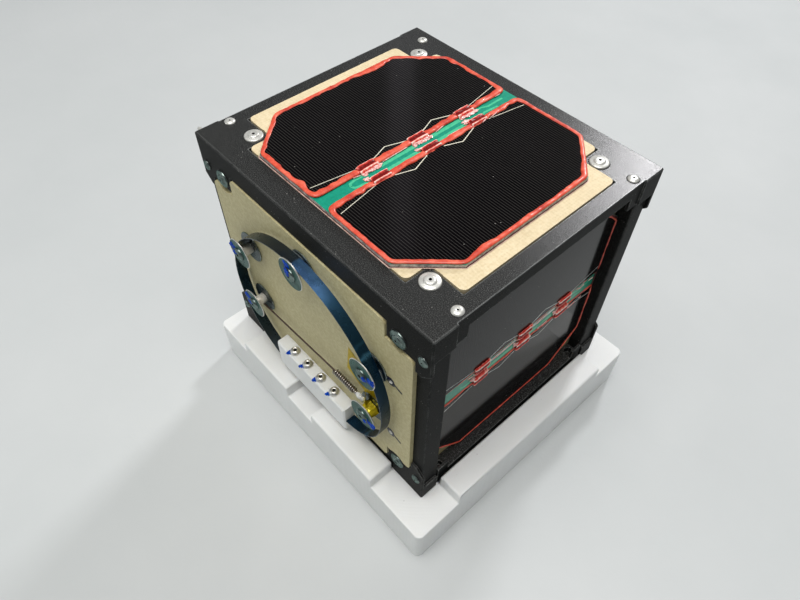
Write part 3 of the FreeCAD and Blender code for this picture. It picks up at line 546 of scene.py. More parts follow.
# %% White plastic
def make_plastic():
    material, tree, shader = new_material(
        "white_plastic", (0.84, 0.85, 0.84), 0.42,
        Subsurface_Weight=0.25, Subsurface_Scale=0.002, Subsurface_Radius=(1.0, 0.95, 0.85))
    grain = place(tree, GRAIN, Fine=1200.0, Broad=35.0)
    dust = place(tree, DUST, Scale=330.0, Speck=0.10)
    marks = add(tree, "TexWave", {"wave_type": "RINGS", "rings_direction": "Z"}, Vector=here(tree),
                Scale=260.0, Distortion=1.5, Detail=2.0).outputs["Fac"]
    soft = blend(span(grain["Clouds"], 0.35, 0.75, 0.0, 0.6), (0.82, 0.825, 0.815), (0.74, 0.75, 0.74))
    scuffed = blend(share(dust["Mask"], 0.35), soft, (0.35, 0.34, 0.33))
    feed(shader, Base_Color=scuffed, Roughness=span(marks, 0, 1, 0.38, 0.50))
    bump(shader, maths("ADD", grain["Grain"], maths("MULTIPLY", marks, 0.5)), 0.00004, 0.5)
    return material


# %% Solder resist and the small finishes
def make_resist(name, deep, light):
    material, tree, shader = new_material(name, deep, 0.32, Coat_Weight=0.15, Coat_Roughness=0.2,
                                          Specular_IOR_Level=0.3)
    weave = place(tree, WEAVE, Pitch=0.0012, Wander=0.0004)
    feed(shader, Base_Color=blend(span(weave["Mottle"], 0.35, 0.7), deep, light))
    bump(shader, weave["Thread"], 0.00002, 0.5)
    return material


def make_simple(name, dark, pale, rough, depth=0.00003, fine=1500.0, broad=500.0, **sockets):
    """Two tones of one colour in cloudy patches, with a grain in relief."""
    material, tree, shader = new_material(name, pale, rough, **sockets)
    grain = place(tree, GRAIN, Fine=fine, Broad=broad)
    feed(shader, Base_Color=blend(vary(grain["Clouds"]), dark, pale),
         Roughness=vary(grain["Clouds"], rough + 0.08, rough - 0.06))
    bump(shader, grain["Grain"], depth, 0.7)
    return material


PLASTIC = make_plastic()
RESIST = make_resist("green_board", (0.002, 0.22, 0.14), (0.008, 0.31, 0.20))
TRACE = make_resist("green_trace", (0.04, 0.41, 0.225), (0.08, 0.54, 0.30))
CUT_EDGE = make_simple("carrier_edge", (0.16, 0.15, 0.14), (0.80, 0.78, 0.74), 0.5, 0.0001, broad=700.0)
# The dark band is painted shadow and painted shade; the pale band is painted light.
SHADOW_BAND = make_simple("dark_band_painted_shadow", (0.045, 0.008, 0.008), (0.12, 0.026, 0.024), 0.5, 0.0001)
LIGHT_BAND = make_simple("pale_band_painted_light", (0.34, 0.20, 0.16), (0.74, 0.54, 0.46), 0.6, 0.0001)
TINNED = make_simple("tinned_track", (0.34, 0.36, 0.34), (0.70, 0.71, 0.68), 0.35, 0.00004, Metallic=0.3)
# The spacers' near-white cream is partly painted light, which keeps them bright in the tape's shade.
SPACER = make_simple("spacer_partly_painted_light", (0.72, 0.66, 0.56), (0.98, 0.94, 0.86), 0.30, Metallic=0.2)
# The outer washers' dark teal is a painted reflection and painted shade.
TEAL_REFLECTION_WASHER = make_simple("washer_painted_teal_reflection", (0.022, 0.068, 0.056), (0.060, 0.140, 0.120), 0.30,
                     Specular_IOR_Level=0.06)
BUSBAR = make_simple("busbar", (0.56, 0.53, 0.42), (0.80, 0.77, 0.64), 0.45, broad=200.0)
LINE = make_simple("dark_line", (0.040, 0.018, 0.012), (0.12, 0.075, 0.055), 0.5, 0.00005, 2500.0, 900.0)
FILM = make_simple("amber_film", (0.30, 0.22, 0.004), (0.60, 0.42, 0.008), 0.42, 0.0001, 500.0, 160.0,
                   Specular_IOR_Level=0.12)
GILT = make_simple("gold_film", (0.74, 0.52, 0.006), (1.0, 0.86, 0.05), 0.18, 0.0002, 600.0, 300.0, Metallic=0.35)
INK = make_simple("blue_ink", (0.001, 0.030, 0.30), (0.003, 0.085, 0.58), 0.45, 0.00005, 900.0,
                  Specular_IOR_Level=0.05)
# This finish also makes the pale lines along the beads, which are painted highlights.
SOLDER_AND_HIGHLIGHTS = make_simple("flux_solder_and_highlights", (0.70, 0.16, 0.13), (0.97, 0.80, 0.76), 0.28, 0.0002, 1800.0, 1500.0,
                     Coat_Weight=0.4)
BRIGHT = make_simple("bright_plating", (0.50, 0.495, 0.46), (0.80, 0.79, 0.745), 0.34, broad=700.0, Metallic=0.5)
HOLE = make_simple("deep_shadow", (0.004, 0.004, 0.004), (0.012, 0.012, 0.011), 0.7, broad=700.0)
WAX = make_simple("black_wax", (0.003, 0.004, 0.012), (0.010, 0.012, 0.045), 0.3, 0.00005, 900.0)
SLEEVE = make_simple("crimp_sleeve", (0.60, 0.62, 0.62), (0.86, 0.87, 0.86), 0.25, 0.00005, 800.0, 400.0,
                     Coat_Weight=0.5)
BLOCK = make_simple("stack", (0.03, 0.035, 0.03), (0.06, 0.07, 0.06), 0.6, 0.0001, 400.0, 60.0)
FLOOR = make_simple("pale_floor", (0.52, 0.54, 0.54), (0.57, 0.585, 0.585), 0.7, 0.0001, 300.0, 6.0)
print("materials:", len(bpy.data.materials))

# %% [markdown]
# ## Dressing the CAD nodes
#
# The flat boards and carriers and the bent tape already have the right shape, so they
# stay and get their finish.  The electronics block is closed in, but it gets one too.

# %% Materials for the nodes that stay
KEPT = {"board_top": LAMINATE, "board_bottom": LAMINATE, "board_": SIDE_LAMINATE_SHADED, "solar_carrier_": RESIST,
        "antenna_strip": TAPE, "electronics_stack": BLOCK}
for node, obj in nodes.items():
    start = next((start for start in KEPT if node.startswith(start)), None)
    if start:
        obj.data.materials.clear()
        obj.data.materials.append(KEPT[start])
for face, (_, axis, _) in TURNS.items():
    if face == "front":
        continue
    carrier = nodes["solar_carrier_" + face].data
    carrier.materials.append(CUT_EDGE)
    for polygon in carrier.polygons:
        polygon.material_index = int(abs(polygon.normal[axis]) < 0.5)
print("kept:", sum(node.startswith(tuple(KEPT)) for node in nodes))

# %% [markdown]
# ## Edges that catch the light
#
# No machined part has a perfectly sharp edge.  A copy of each CAD block is merged into
# one skin, its flat faces are joined up, and a small Bevel modifier rounds the edges.
# A Weighted Normal modifier after it keeps the broad faces from looking like pillows.
# The copy then stands for the node.


# %% Rounded copies of the blocks
WELD = 1e-6  # vertices closer than this are one
HAIR = 0.000004  # slanted faces lean out by about this when they are rounded


def mesh_from(bm, name):
    """Turns a finished bmesh into a mesh with smooth shading."""
    mesh = bpy.data.meshes.new(name)
    bm.to_mesh(mesh)
    bm.free()
    for polygon in mesh.polygons:
        polygon.use_smooth = True
    return mesh


def place_piece(obj, stands_for=()):
    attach(obj, "root")
    if stands_for:
        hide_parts(*stands_for)
    return obj


def rounded_copy(node, material, width, segments=2):
    bm = bmesh.new()
    bm.from_mesh(nodes[node].data)
    bmesh.ops.remove_doubles(bm, verts=bm.verts, dist=WELD)
    bmesh.ops.dissolve_limit(bm, angle_limit=math.radians(1), verts=bm.verts, edges=bm.edges)
    mesh = mesh_from(bm, node + "_softened")
    mesh.materials.append(material)
    if segments > 2:
        for axis in range(3):
            low, high = (corner[axis] + HAIR * way for corner, way in zip(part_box(node), (1, -1)))
            for vert in mesh.vertices:
                vert.co[axis] = min(max(vert.co[axis], low), high)
    obj = into_scene(node + "_softened", mesh)
    soften = obj.modifiers.new("edges", "BEVEL")
    soften.width = width
    soften.segments = segments
    soften.limit_method = "ANGLE"
    soften.angle_limit = math.radians(32)
    flatten = obj.modifiers.new("flat faces", "WEIGHTED_NORMAL")
    flatten.mode = "FACE_AREA"
    flatten.weight = 100
    return place_piece(obj, [node])


for node in nodes:
    if node.startswith(("frame_", "corner_post_")):
        block = rounded_copy(node, ANODISED, 0.0003).data
        block.materials.append(TOP_LIT_ANODISED)
        # The frames' upward faces take the lighter copy, which is painted light.
        if node.startswith("frame_"):
            for polygon in block.polygons:
                polygon.material_index = int(abs(polygon.normal.z) > 0.9)
rounded_copy("handling_tray", PLASTIC, 0.0005, 3)
rounded_copy("antenna_clamp", PLASTIC, 0.0003, 3)

# %% [markdown]
# ## Turned hardware
#
# A screw head or a washer is a lathe shape.  Its profile is drawn as a chain of edges
# from the axis outwards and back, and `spin` turns it right round.  The hexagon socket
# starts as a round hole whose ring is pulled out to a hexagon.


# %% Lathe and finish helpers
SIXTH = math.pi / 3


def lathe(bm, profile, at=(0, 0, 0), steps=36, hexagon=0.0, turn=0.0):
    """Spins (radius, height) pairs about z through a point; rings no wider than
    hexagon become hexagons, and the faces among them take the second finish."""
    centre = Vector(at)
    verts = [bm.verts.new(centre + Vector((radius, 0, height))) for radius, height in profile]
    edges = [bm.edges.new(pair) for pair in zip(verts, verts[1:])]
    before = set(bm.verts) - set(verts)
    bmesh.ops.spin(bm, geom=verts + edges, cent=centre, axis=(0, 0, 1), angle=2 * math.pi, steps=steps,
                   use_merge=True)
    bmesh.ops.remove_doubles(bm, verts=[vert for vert in bm.verts if vert not in before], dist=1e-4)
    made = [vert for vert in bm.verts if vert not in before]
    for vert in made:
        offset = (vert.co - centre).to_2d()
        if 1e-3 < offset.length <= hexagon + 1e-3:
            angle = (math.atan2(offset.y, offset.x) + turn) % SIXTH - SIXTH / 2
            vert.co.xy = centre.xy + offset * (math.cos(SIXTH / 2) / math.cos(angle))
    for face in {face for vert in made for face in vert.link_faces}:
        if hexagon and all((vert.co - centre).to_2d().length <= hexagon + 0.01 for vert in face.verts):
            face.material_index = 1
    return made


def finish_piece(name, bm, material, face, stands_for=(), sharp=40, subdivide=0):
    """Carries a bmesh in millimetres to its face and makes it a finished piece."""
    bm.transform(face_matrix(face))
    bmesh.ops.recalc_face_normals(bm, faces=bm.faces)
    mesh = mesh_from(bm, name)
    mesh.set_sharp_from_angle(angle=math.radians(sharp))
    for finish in material if isinstance(material, tuple) else (material,):
        mesh.materials.append(finish)
    obj = into_scene(name, mesh)
    if subdivide:
        smooth = obj.modifiers.new("smooth", "SUBSURF")
        smooth.levels = smooth.render_levels = subdivide
    return place_piece(obj, stands_for)


print("lathe ready")

# %% [markdown]
# ## The screws in the frames
#
# At each corner there is a washer-headed screw in the board and a small pan head in
# the rail.  They are where the CAD discs are: each CAD node holds its discs as loose
# shells, and the middle of each shell is read from the mesh.  One small bright pin
# stands out of the rail's end, where the satellite would push off from its neighbour.


# %% Screw positions from the CAD discs
def shells(node, face):
    """The middle and the radius of each separate shell of a node, in its face's frame,
    sorted so that the dice fall the same way in every run."""
    bm = bmesh.new()
    bm.from_mesh(nodes[node].data)
    bmesh.ops.remove_doubles(bm, verts=bm.verts, dist=WELD)
    bm.transform(face_matrix(face).inverted())
    found = []
    waiting = set(bm.verts)
    while waiting:
        stack = [waiting.pop()]
        shell = list(stack)
        while stack:
            near = {vert for edge in stack.pop().link_edges for vert in edge.verts} & waiting
            waiting -= near
            stack += near
            shell += near
        xs, ys = [vert.co.x for vert in shell], [vert.co.y for vert in shell]
        found.append(((max(xs) + min(xs)) / 2, (max(ys) + min(ys)) / 2, (max(xs) - min(xs)) / 2))
    bm.free()
    return sorted(found)


# %% Screws
BIG_HEAD = [(0, -0.2), (0.50, -0.2), (0.54, 0.62), (0.9, 0.68), (1.5, 0.62), (1.85, 0.40), (1.95, 0.20),
            (2.1, 0.14), (2.85, 0.10), (3.1, -0.02), (3.2, -0.17), (3.2, -0.46), (3.15, -0.5)]
PAN_HEAD = [(0, -0.3), (0.33, -0.3), (0.36, 0.16), (0.7, 0.26), (1.1, 0.20), (1.55, 0.02), (1.8, -0.2),
            (1.88, -0.38), (1.84, -0.5)]
HEADS = {True: (BIG_HEAD, 40, 0.54, 3.17), False: (PAN_HEAD, 32, 0.36, 1.86)}  # profile, steps, socket, where the painted shadow ring starts
BIG = 3.0  # a disc of more than this radius is a washer head
SHADOW_RING_WIDTH = 0.3
PIN = [(0, 1.75), (0.4, 1.68), (0.68, 1.45), (0.78, 1.1), (0.78, 0), (0.5, -0.1), (0, -0.1)]
PIN_AT = (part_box("frame_top")[0][0], -0.0466, 0.1190)
dice = random.Random(7)
for face in ("top", "front", "back"):
    bm, seat_shadows = bmesh.new(), bmesh.new()
    for x, y, radius in shells("screws_" + face, face):
        profile, steps, socket, rim = HEADS[radius > BIG]
        lathe(bm, profile, (x, y, 0), steps, socket, dice.uniform(0, math.pi))
        edge = rim + SHADOW_RING_WIDTH
        # a flat black ring under each head: painted shadow
        lathe(seat_shadows, [(rim, -0.47), (edge, -0.48), (edge, -0.52), (rim, -0.52), (rim, -0.47)], (x, y, 0), 40)
    # The top screws take the bright plating; those on the front and back take the darker copy, which is painted
    # shade.
    finish_piece("frame_screws_" + face, bm, (BRIGHT if face == "top" else SHADE_TEAL_STEEL, HOLE), face,
                 ["screws_" + face])
    finish_piece("screw_seat_shadows_" + face, seat_shadows, HOLE, face)
bm = bmesh.new()
made = lathe(bm, PIN, steps=24)
bmesh.ops.rotate(bm, verts=made, cent=(0, 0, 0), matrix=Matrix.Rotation(-math.pi / 2, 3, "Y"))
bmesh.ops.translate(bm, verts=made, vec=face_matrix("top").inverted() @ Vector(PIN_AT))
finish_piece("end_pin", bm, BRIGHT, "top")
print("screw shells:", {face: len(shells("screws_" + face, face)) for face in ("top", "front", "back")})

# %% [markdown]
# ## Hand-laid sealant
#
# Each cell is ringed by a bead of silicone that was laid by hand: it swells, thins and
# has small peaks.  The bead starts as the cell's outline, cut into short lengths and
# inset to a ring, and is raised into a bar.  Every cross-section is then made wider,
# narrower or taller by a noise, and subdivision rounds the bar.

# %% Cell outlines
STRIP_HALF = 4.2  # half the width of the wiring strip between the two cells
CROP_ACROSS, CROP_ALONG = 13.0, 14.2
PANELS = ("top", "right", "back", "left", "bottom")
CLIP_ROWS = (-20.6, 0.5, 21.5)
CLIP_LENGTH = 7.2


def face_box(node, face):
    """The least and the greatest corner of a node's box, in its face's frame."""
    corners = [face_matrix(face).inverted() @ Vector(corner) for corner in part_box(node)]
    return Vector(map(min, *corners)), Vector(map(max, *corners))


def cell_corners(face, side):
    """The corners of one cell in its face's frame, read from the CAD cells' box."""
    low, high = face_box("solar_cells_" + face, face)
    outer, far = max(abs(low.x), abs(high.x)), max(abs(low.y), abs(high.y))
    half = [(STRIP_HALF, far), (outer - CROP_ACROSS, far), (outer, far - CROP_ALONG)]
    points = half + [(x, -y) for x, y in reversed(half)]
    return [Vector((side * x, y, 0)) for x, y in points]


print("top cell:", [(round(p.x, 1), round(p.y, 1)) for p in cell_corners("top", 1)])


# %% Cells
GROWTH = 0.4
PLATE_LOW, PLATE_THICK = 1.2, 0.4


def pull(bm, faces, move):
    """Draws out faces along a vector to make a solid, and returns what it made."""
    made = bmesh.ops.extrude_face_region(bm, geom=faces)["geom"]
    bmesh.ops.translate(bm, verts=[item for item in made if isinstance(item, bmesh.types.BMVert)], vec=move)
    return made


def by_the_strip(point):
    """Whether a corner of a cell is beside the wiring strip."""
    return abs(point.x) < STRIP_HALF + 0.8


def grow(value, limit, inner):
    """Moves a coordinate away from zero, by the whole growth where it is at its limit."""
    return math.copysign(abs(value) + (GROWTH if abs(value) > limit - 0.1 else inner), value)


def cell_plate(face, side):
    """The cell reaches a little way under the bead on its three outer sides."""
    corners = cell_corners(face, side)
    outer, far = max(abs(p.x) for p in corners), max(abs(p.y) for p in corners)
    bm = bmesh.new()
    verts = []
    for p in corners:
        inner = 0 if by_the_strip(p) else GROWTH / 2
        verts.append(bm.verts.new((grow(p.x, outer, inner), grow(p.y, far, GROWTH / 2), PLATE_LOW)))
    pull(bm, bmesh.ops.contextual_create(bm, geom=verts)["faces"], (0, 0, PLATE_THICK))
    return bm


# %% Beads
BEAD_LOW, BEAD_HEIGHT, BEAD_PITCH = 1.15, 1.0, 0.9
EDGE_REACH = 0.35  # a point this near to two edges is at their corner


def wobble(x, y, z):
    """A smooth noise between -1 and 1."""
    return noise.noise(Vector((x, y, z)))


def drift(point, scale, seed):
    """The same noise over a face."""
    return wobble(point.x * scale, point.y * scale, seed)


def away(corners, start, end):
    """The flat normal of one edge of an outline, pointing away from its middle."""
    normal = Vector(((end - start).y, (start - end).x, 0)).normalized()
    return normal if normal.dot(start - sum(corners, Vector()) / len(corners)) > 0 else -normal


def outward(corners, point):
    """The direction away from the cell at a point on its outline: the mean of the
    normals of the edges near it."""
    total = Vector()
    for start, end in zip(corners, corners[1:] + corners[:1]):
        along = end - start
        part = max(0.0, min(1.0, (point - start).dot(along) / along.length_squared))
        if (start + along * part - point).length < EDGE_REACH:
            total += away(corners, start, end)
    return total.normalized()


def bead(corners, seed, lap, torn):
    """A smear of sealant all round the corners.  Beside the wiring strip it is broad and
    laps onto the cell; round the outside it is a thin line with teardrops where the
    spatula stopped.  A folded noise gives its cusps.  The lap scales the broad part and
    a thin bead, as on the sides, has a small one; torn says how ragged the rest is."""
    bm = bmesh.new()
    verts = [bm.verts.new((p.x, p.y, BEAD_LOW)) for p in corners]
    edges = [bm.edges.new(pair) for pair in zip(verts, verts[1:] + verts[:1])]
    for edge in edges:
        cuts = max(1, round(edge.calc_length() / BEAD_PITCH) - 1)
        bmesh.ops.subdivide_edges(bm, edges=[edge], cuts=cuts)
    loop = bmesh.ops.contextual_create(bm, geom=bm.edges[:])["faces"]
    bmesh.ops.inset_region(bm, faces=loop, thickness=0.02, use_boundary=True, use_even_offset=True)
    inner_spots = {(round(vert.co.x, 4), round(vert.co.y, 4)) for face in loop for vert in face.verts}
    bmesh.ops.delete(bm, geom=loop, context="FACES_ONLY")
    pull(bm, bm.faces[:], (0, 0, BEAD_HEIGHT))
    for vert in bm.verts:
        flat = Vector((vert.co.x, vert.co.y, 0))
        wave = drift(flat, 0.16, seed)
        cusp = 0.5 - 2 * abs(drift(flat, 0.24, seed + 5))
        ripple = drift(flat, 0.8, seed + 9)
        tear = lap * max(0.0, 3.2 * drift(flat, 0.13, seed + 2) - 0.45)
        by_strip = max(0.0, min(1.0, 1 - (abs(flat.x) - STRIP_HALF) / 2.5))
        is_inner = (round(flat.x, 4), round(flat.y, 4)) in inner_spots
        over_cell = lap * by_strip * (0.42 + 0.5 * wave + 0.7 * cusp + 0.3 * ripple) + (1 - by_strip) * (
            torn * tear - 0.35 + torn * lap * max(0.0, 1.1 * cusp) + 0.12 * ripple)
        over_rim = (0.5 + 1.38 * lap) + 0.05 * lap * by_strip + 0.15 * ripple - 0.1 * cusp * lap
        vert.co += outward(corners, flat) * (-max(-0.38, over_cell) if is_inner else over_rim)
        by_clip = by_strip > 0.9 and any(abs(flat.y - row) < CLIP_LENGTH / 2 for row in CLIP_ROWS)
        if vert.co.z > BEAD_LOW + BEAD_HEIGHT / 2:
            lift = -0.25 + (lap - 0.75) * by_strip + 0.2 * wave + 0.22 * ripple + 0.15 * tear
            vert.co.z += -0.35 if by_clip else lift
        elif not is_inner:
            vert.co.z -= 0.12
    return bm


def join(target, extra):
    """Adds a finished bmesh to another one."""
    mesh = bpy.data.meshes.new("part")
    extra.to_mesh(mesh)
    extra.free()
    target.from_mesh(mesh)
    bpy.data.meshes.remove(mesh)


for number, face in enumerate(PANELS):
    bm, plates = bmesh.new(), bmesh.new()
    lap = 1.0 if face == "top" else 0.35
    for side in (1, -1):
        join(plates, cell_plate(face, side))
        join(bm, bead(cell_corners(face, side), number * 20 + side, lap, 0.7 - 0.3 * side))
    finish_piece("cells_" + face, plates, CELL_ALONG_Z if face == "back" else CELL_ALONG_Y, face,
                 ["solar_cells_" + face])
    obj = finish_piece("silicone_" + face, bm, SILICONE, face, ["sealant_" + face], 180, 2)
    print(obj.name, len(obj.data.polygons), "faces before smoothing")

# %% [markdown]
# ## Interconnect clips
#
# Three pairs of clips carry the current from the wiring strip up over the bead and down
# onto the cells.  Each is a thin metal arch that was painted with silicone, so it looks
# red and wet: a shallow channel between two raised rims.  The rims' paleness is painted
# highlight and the channel's dark is painted shade.  A grid is bent over a profile,
# thickened and smoothed, and its tones go into an attribute that the material reads.
# Drops of flux and solder lie along the feet, and pale lines beside the beads are
# painted highlights.

# %% Clips
CLIP_PROFILE = [(1.3, 1.30, 0.0), (1.7, 1.42, 0.1), (2.0, 2.10, 0.3), (2.3, 2.56, 0.95), (2.7, 2.34, -0.4),
                (3.4, 2.10, -1.0), (4.2, 2.16, -0.9), (4.75, 2.46, 0.1), (5.05, 2.58, 1.0), (5.3, 2.00, 0.0),
                (5.6, 1.72, 0.2)]  # out from the strip, up from the board, tone: pale rims painted highlight, dark channel painted shade
CLIP_FEET = {1: (0.75, 4.5), -1: (1.5, 5.3)}  # where a clip starts and ends, by side
CLIP_SEGMENTS, CLIP_CEILING, CLIP_THICK = 9, 2.66, 0.3


def clip(bm, coat_and_shade, side, middle, seed):
    """A grid bent over the profile and thickened."""
    count = len(CLIP_PROFILE)
    first, last = CLIP_PROFILE[0][0], CLIP_PROFILE[-1][0]
    near, reach = CLIP_FEET[side]
    made = bmesh.ops.create_grid(bm, x_segments=count - 1, y_segments=CLIP_SEGMENTS, size=0.5)["verts"]
    for vert in made:
        x, z, tone = CLIP_PROFILE[round((vert.co.x + 0.5) * (count - 1))]
        x = near + (x - first) / (last - first) * (reach - near)
        along = vert.co.y * 2
        at_end = abs(along) > 0.95
        lump = wobble(x * 0.9, along * 2.6, seed)
        vert[coat_and_shade] = tone + (0.6 if at_end else 0.0) + 0.3 * lump
        wander = 0.22 * wobble(seed, along * 1.4, 3.0)
        vert.co = Vector((side * (x + wander), middle + along * CLIP_LENGTH / 2 + 0.2 * lump,
                          min(z + 0.22 * lump - 0.15 * at_end, CLIP_CEILING)))
    faces = list({face for vert in made for face in vert.link_faces})
    bmesh.ops.recalc_face_normals(bm, faces=faces)
    if faces[0].normal.z < 0:
        bmesh.ops.reverse_faces(bm, faces=faces)
    bmesh.ops.solidify(bm, geom=faces, thickness=CLIP_THICK)


def blob(bm, at, size, seed, rough=0.35):
    """A lumpy drop: a small ball, squashed and pushed about by a noise."""
    for vert in bmesh.ops.create_icosphere(bm, subdivisions=2, radius=1.0)["verts"]:
        push = 1 + rough * noise.noise(vert.co * 1.6 + Vector((seed, seed, 0)))
        vert.co = Vector(at) + Vector([c * s * push for c, s in zip(vert.co, size)])


BEAD_HIGHLIGHTS = [  # pale lines along the beads: painted highlights
    ((-2.1, -15.0), (-2.3, -5.5)), ((-1.9, 7.6), (-2.8, 12.2)), ((-2.2, -26.7), (-1.8, -25.0)),
    ((-2.8, 29.2), (-3.7, 32.0)), ((-2.4, 36.3), (-2.4, 38.0)), ((4.9, 26.2), (4.4, 29.3)),
    ((5.0, 22.2), (4.4, 23.8)), ((4.0, 32.3), (4.0, 33.0)), ((2.2, 9.0), (2.3, 13.5))]
SOLDER_ROWS = {1: (3, 0.85, 1.2), -1: (14, 1.75, 0.0)}  # drops, where they are, how far back they start
for number, face in enumerate(PANELS):
    bm, solder_and_highlights = bmesh.new(), bmesh.new()
    coat_and_shade = bm.verts.layers.float.new("coat_and_shade")
    for side in (1, -1):
        drops, foot, back = SOLDER_ROWS[side]
        for row, middle in enumerate(CLIP_ROWS):
            seed = number * 7 + side * 3 + row
            clip(bm, coat_and_shade, side, middle, seed)
            for step in range(drops):
                spot = (side * (foot + 0.6 * math.sin(seed + 2.4 * step)), middle - 2.9 + 0.5 * step - back,
                        1.50 + 0.16 * math.sin(seed + 1.7 * step))
                blob(solder_and_highlights, spot, (0.58, 1.0, 0.20) if step % 3 else (0.36, 0.7, 0.28), seed + step, 0.9)
    for (x1, y1), (x2, y2) in BEAD_HIGHLIGHTS:
        count = max(2, round(math.hypot(x2 - x1, y2 - y1) / 0.42))
        for step in range(count + 1):
            x, y = x1 + (x2 - x1) * step / count, y1 + (y2 - y1) * step / count
            blob(solder_and_highlights, (x, y, 1.62 if abs(x) < 3 else 2.02), (0.15, 0.5, 0.16), number + step, 0.5)
    finish_piece("clips_" + face, bm, COATED, face, ["cell_clips_" + face], 180, 1)
    finish_piece("clip_solder_and_highlights_" + face, solder_and_highlights, SOLDER_AND_HIGHLIGHTS, face, (), 60)
print("clips:", len(PANELS) * len(CLIP_ROWS) * 2)

# %% [markdown]
# ## Printed wiring
#
# Each cell's busbar is a pale printed line that bows out between the clips, and the
# green strip has two lighter tracks.  A ribbon starts as one short edge that is
# extruded from point to point and then raised by a hair.  A dark band of painted
# shadow runs round the foot of each carrier; on the side panels a second dark band,
# painted shade, covers the carrier's rim round the cells, and on the top a pale band of
# painted light lies on the board beside it.


# %% Ribbons
def ribbon(bm, points, width, base, height):
    """A flat track along the points, mitred where it turns."""
    spots = [Vector((*point, base)) for point in points]
    lines = [(end - start).normalized() for start, end in zip(spots, spots[1:])]
    arms = []
    for before, after in zip([lines[0]] + lines, lines + [lines[-1]]):
        across = Vector((-(before + after).y, (before + after).x, 0)).normalized()
        lean = max(0.5, across.dot(Vector((-after.y, after.x, 0))))
        arms.append(across * (width / 2 / lean))
    edge = bm.edges.new([bm.verts.new(spots[0] + arms[0] * sign) for sign in (-1, 1)])
    faces = []
    for spot, arm in zip(spots[1:], arms[1:]):
        old = edge.verts[0].co - edge.verts[1].co
        made = bmesh.ops.extrude_edge_only(bm, edges=[edge])["geom"]
        faces += [item for item in made if isinstance(item, bmesh.types.BMFace)]
        edge = next(item for item in made if isinstance(item, bmesh.types.BMEdge))
        for vert, sign in zip(edge.verts, (1, -1)):
            vert.co = spot + arm * (sign if old.dot(arm) > 0 else -sign)
    pull(bm, faces, (0, 0, height))


CELL_TOP, CARRIER_TOP = 1.6, 1.2
BUSBARS = [
    [(7.3, 39.7), (4.7, 25.0)],
    [(4.7, 17.9), (7.4, 10.3), (5.0, 4.1)],
    [(4.8, -3.2), (7.2, -10.3), (5.0, -16.9)],
    [(4.7, -24.3), (7.3, -39.6)],
]
TRACKS = [  # beside the beads, from clip to clip; the near end is a loop round the strip
    [(1.45, 17.8), (1.45, 4.2)],
    [(1.45, -3.2), (1.45, -17.0)],
    [(1.5, -24.3), (1.6, -27.4), (1.1, -29.3), (0.0, -29.9)],
]
FAR_TRACKS = [
    [(-1.9, 25.2), (-1.5, 28.0), (-0.6, 30.4), (-0.6, 37.5)],
    [(1.6, 25.2), (0.9, 27.2), (1.2, 29.4), (1.5, 33.0)],
]


def mirrored(points, side):
    return [(side * x, y) for x, y in points]


for face in PANELS:
    bm, tracks = bmesh.new(), bmesh.new()
    for side in (1, -1):
        for points in BUSBARS:
            ribbon(bm, mirrored(points, side), 0.22 if len(points) < 3 else 0.32, CELL_TOP, 0.06)
        for points in TRACKS:
            if face == "top" or side > 0:
                ribbon(tracks, mirrored(points, side), 0.9 if len(points) > 3 else 1.5, CARRIER_TOP, 0.05)
            elif len(points) < 3:
                ribbon(bm, mirrored(points, side), 1.3, CARRIER_TOP, 0.06)
    for points in FAR_TRACKS:
        ribbon(tracks, points, 0.8, CARRIER_TOP, 0.05)
    finish_piece("busbars_" + face, bm, BUSBAR if face == "top" else TINNED, face)
    finish_piece("tracks_" + face, tracks, TRACE, face)
print("ribbons on", len(PANELS), "panels")


# %% Painted shadow and light bands
def grown(corners, reach):
    """A closed outline moved outwards by the same distance all round."""
    result = []
    for before, point, after in zip(corners[-1:] + corners, corners, corners[1:] + corners[:1]):
        normal = away(corners, before, point)
        bisector = (normal + away(corners, point, after)).normalized()
        result.append(point + bisector * (reach / bisector.dot(normal)))
    return result


def ring(bm, corners, inner, outer, base, height):
    """A flat band round a closed outline, between two distances outside it: one face
    over the whole outline, inset, emptied in the middle and raised."""
    band = bmesh.new()
    whole = band.faces.new([band.verts.new((p.x, p.y, base)) for p in grown(corners, outer)])
    band.normal_update()
    bmesh.ops.inset_region(band, faces=[whole], thickness=outer - inner, use_boundary=True, use_even_offset=True)
    bmesh.ops.delete(band, geom=[whole], context="FACES_ONLY")
    pull(band, band.faces[:], (0, 0, height))
    join(bm, band)


CARRIER_RIM = 1.7
for face in PANELS:
    outline = [p for p in cell_corners(face, 1) if not by_the_strip(p)]
    outline += [Vector((-p.x, p.y, 0)) for p in reversed(outline)]
    # painted shadow at each carrier's foot, painted shade over the side carriers' rims, painted light on the top
    # board's edge
    dark = bmesh.new()
    ring(dark, outline, CARRIER_RIM - 0.05, CARRIER_RIM + 0.22, 0.0, 0.16)
    if face == "top":
        pink = bmesh.new()
        ring(pink, outline, CARRIER_RIM + 0.26, CARRIER_RIM + 0.56, 0.0, 0.04)
        finish_piece("board_edge_painted_light", pink, LIGHT_BAND, face)
    else:
        ring(dark, outline, 0.1, CARRIER_RIM, CARRIER_TOP, 0.05)
    finish_piece("carrier_painted_shadow_" + face, dark, SHADOW_BAND, face)
print("seams:", len(PANELS))

# %% [markdown]
# ## The antenna's posts
#
# Five posts hold the bent tape between pairs of large washers.  Washers, spacers and
# screws are lathe shapes again, on the positions of the CAD discs.

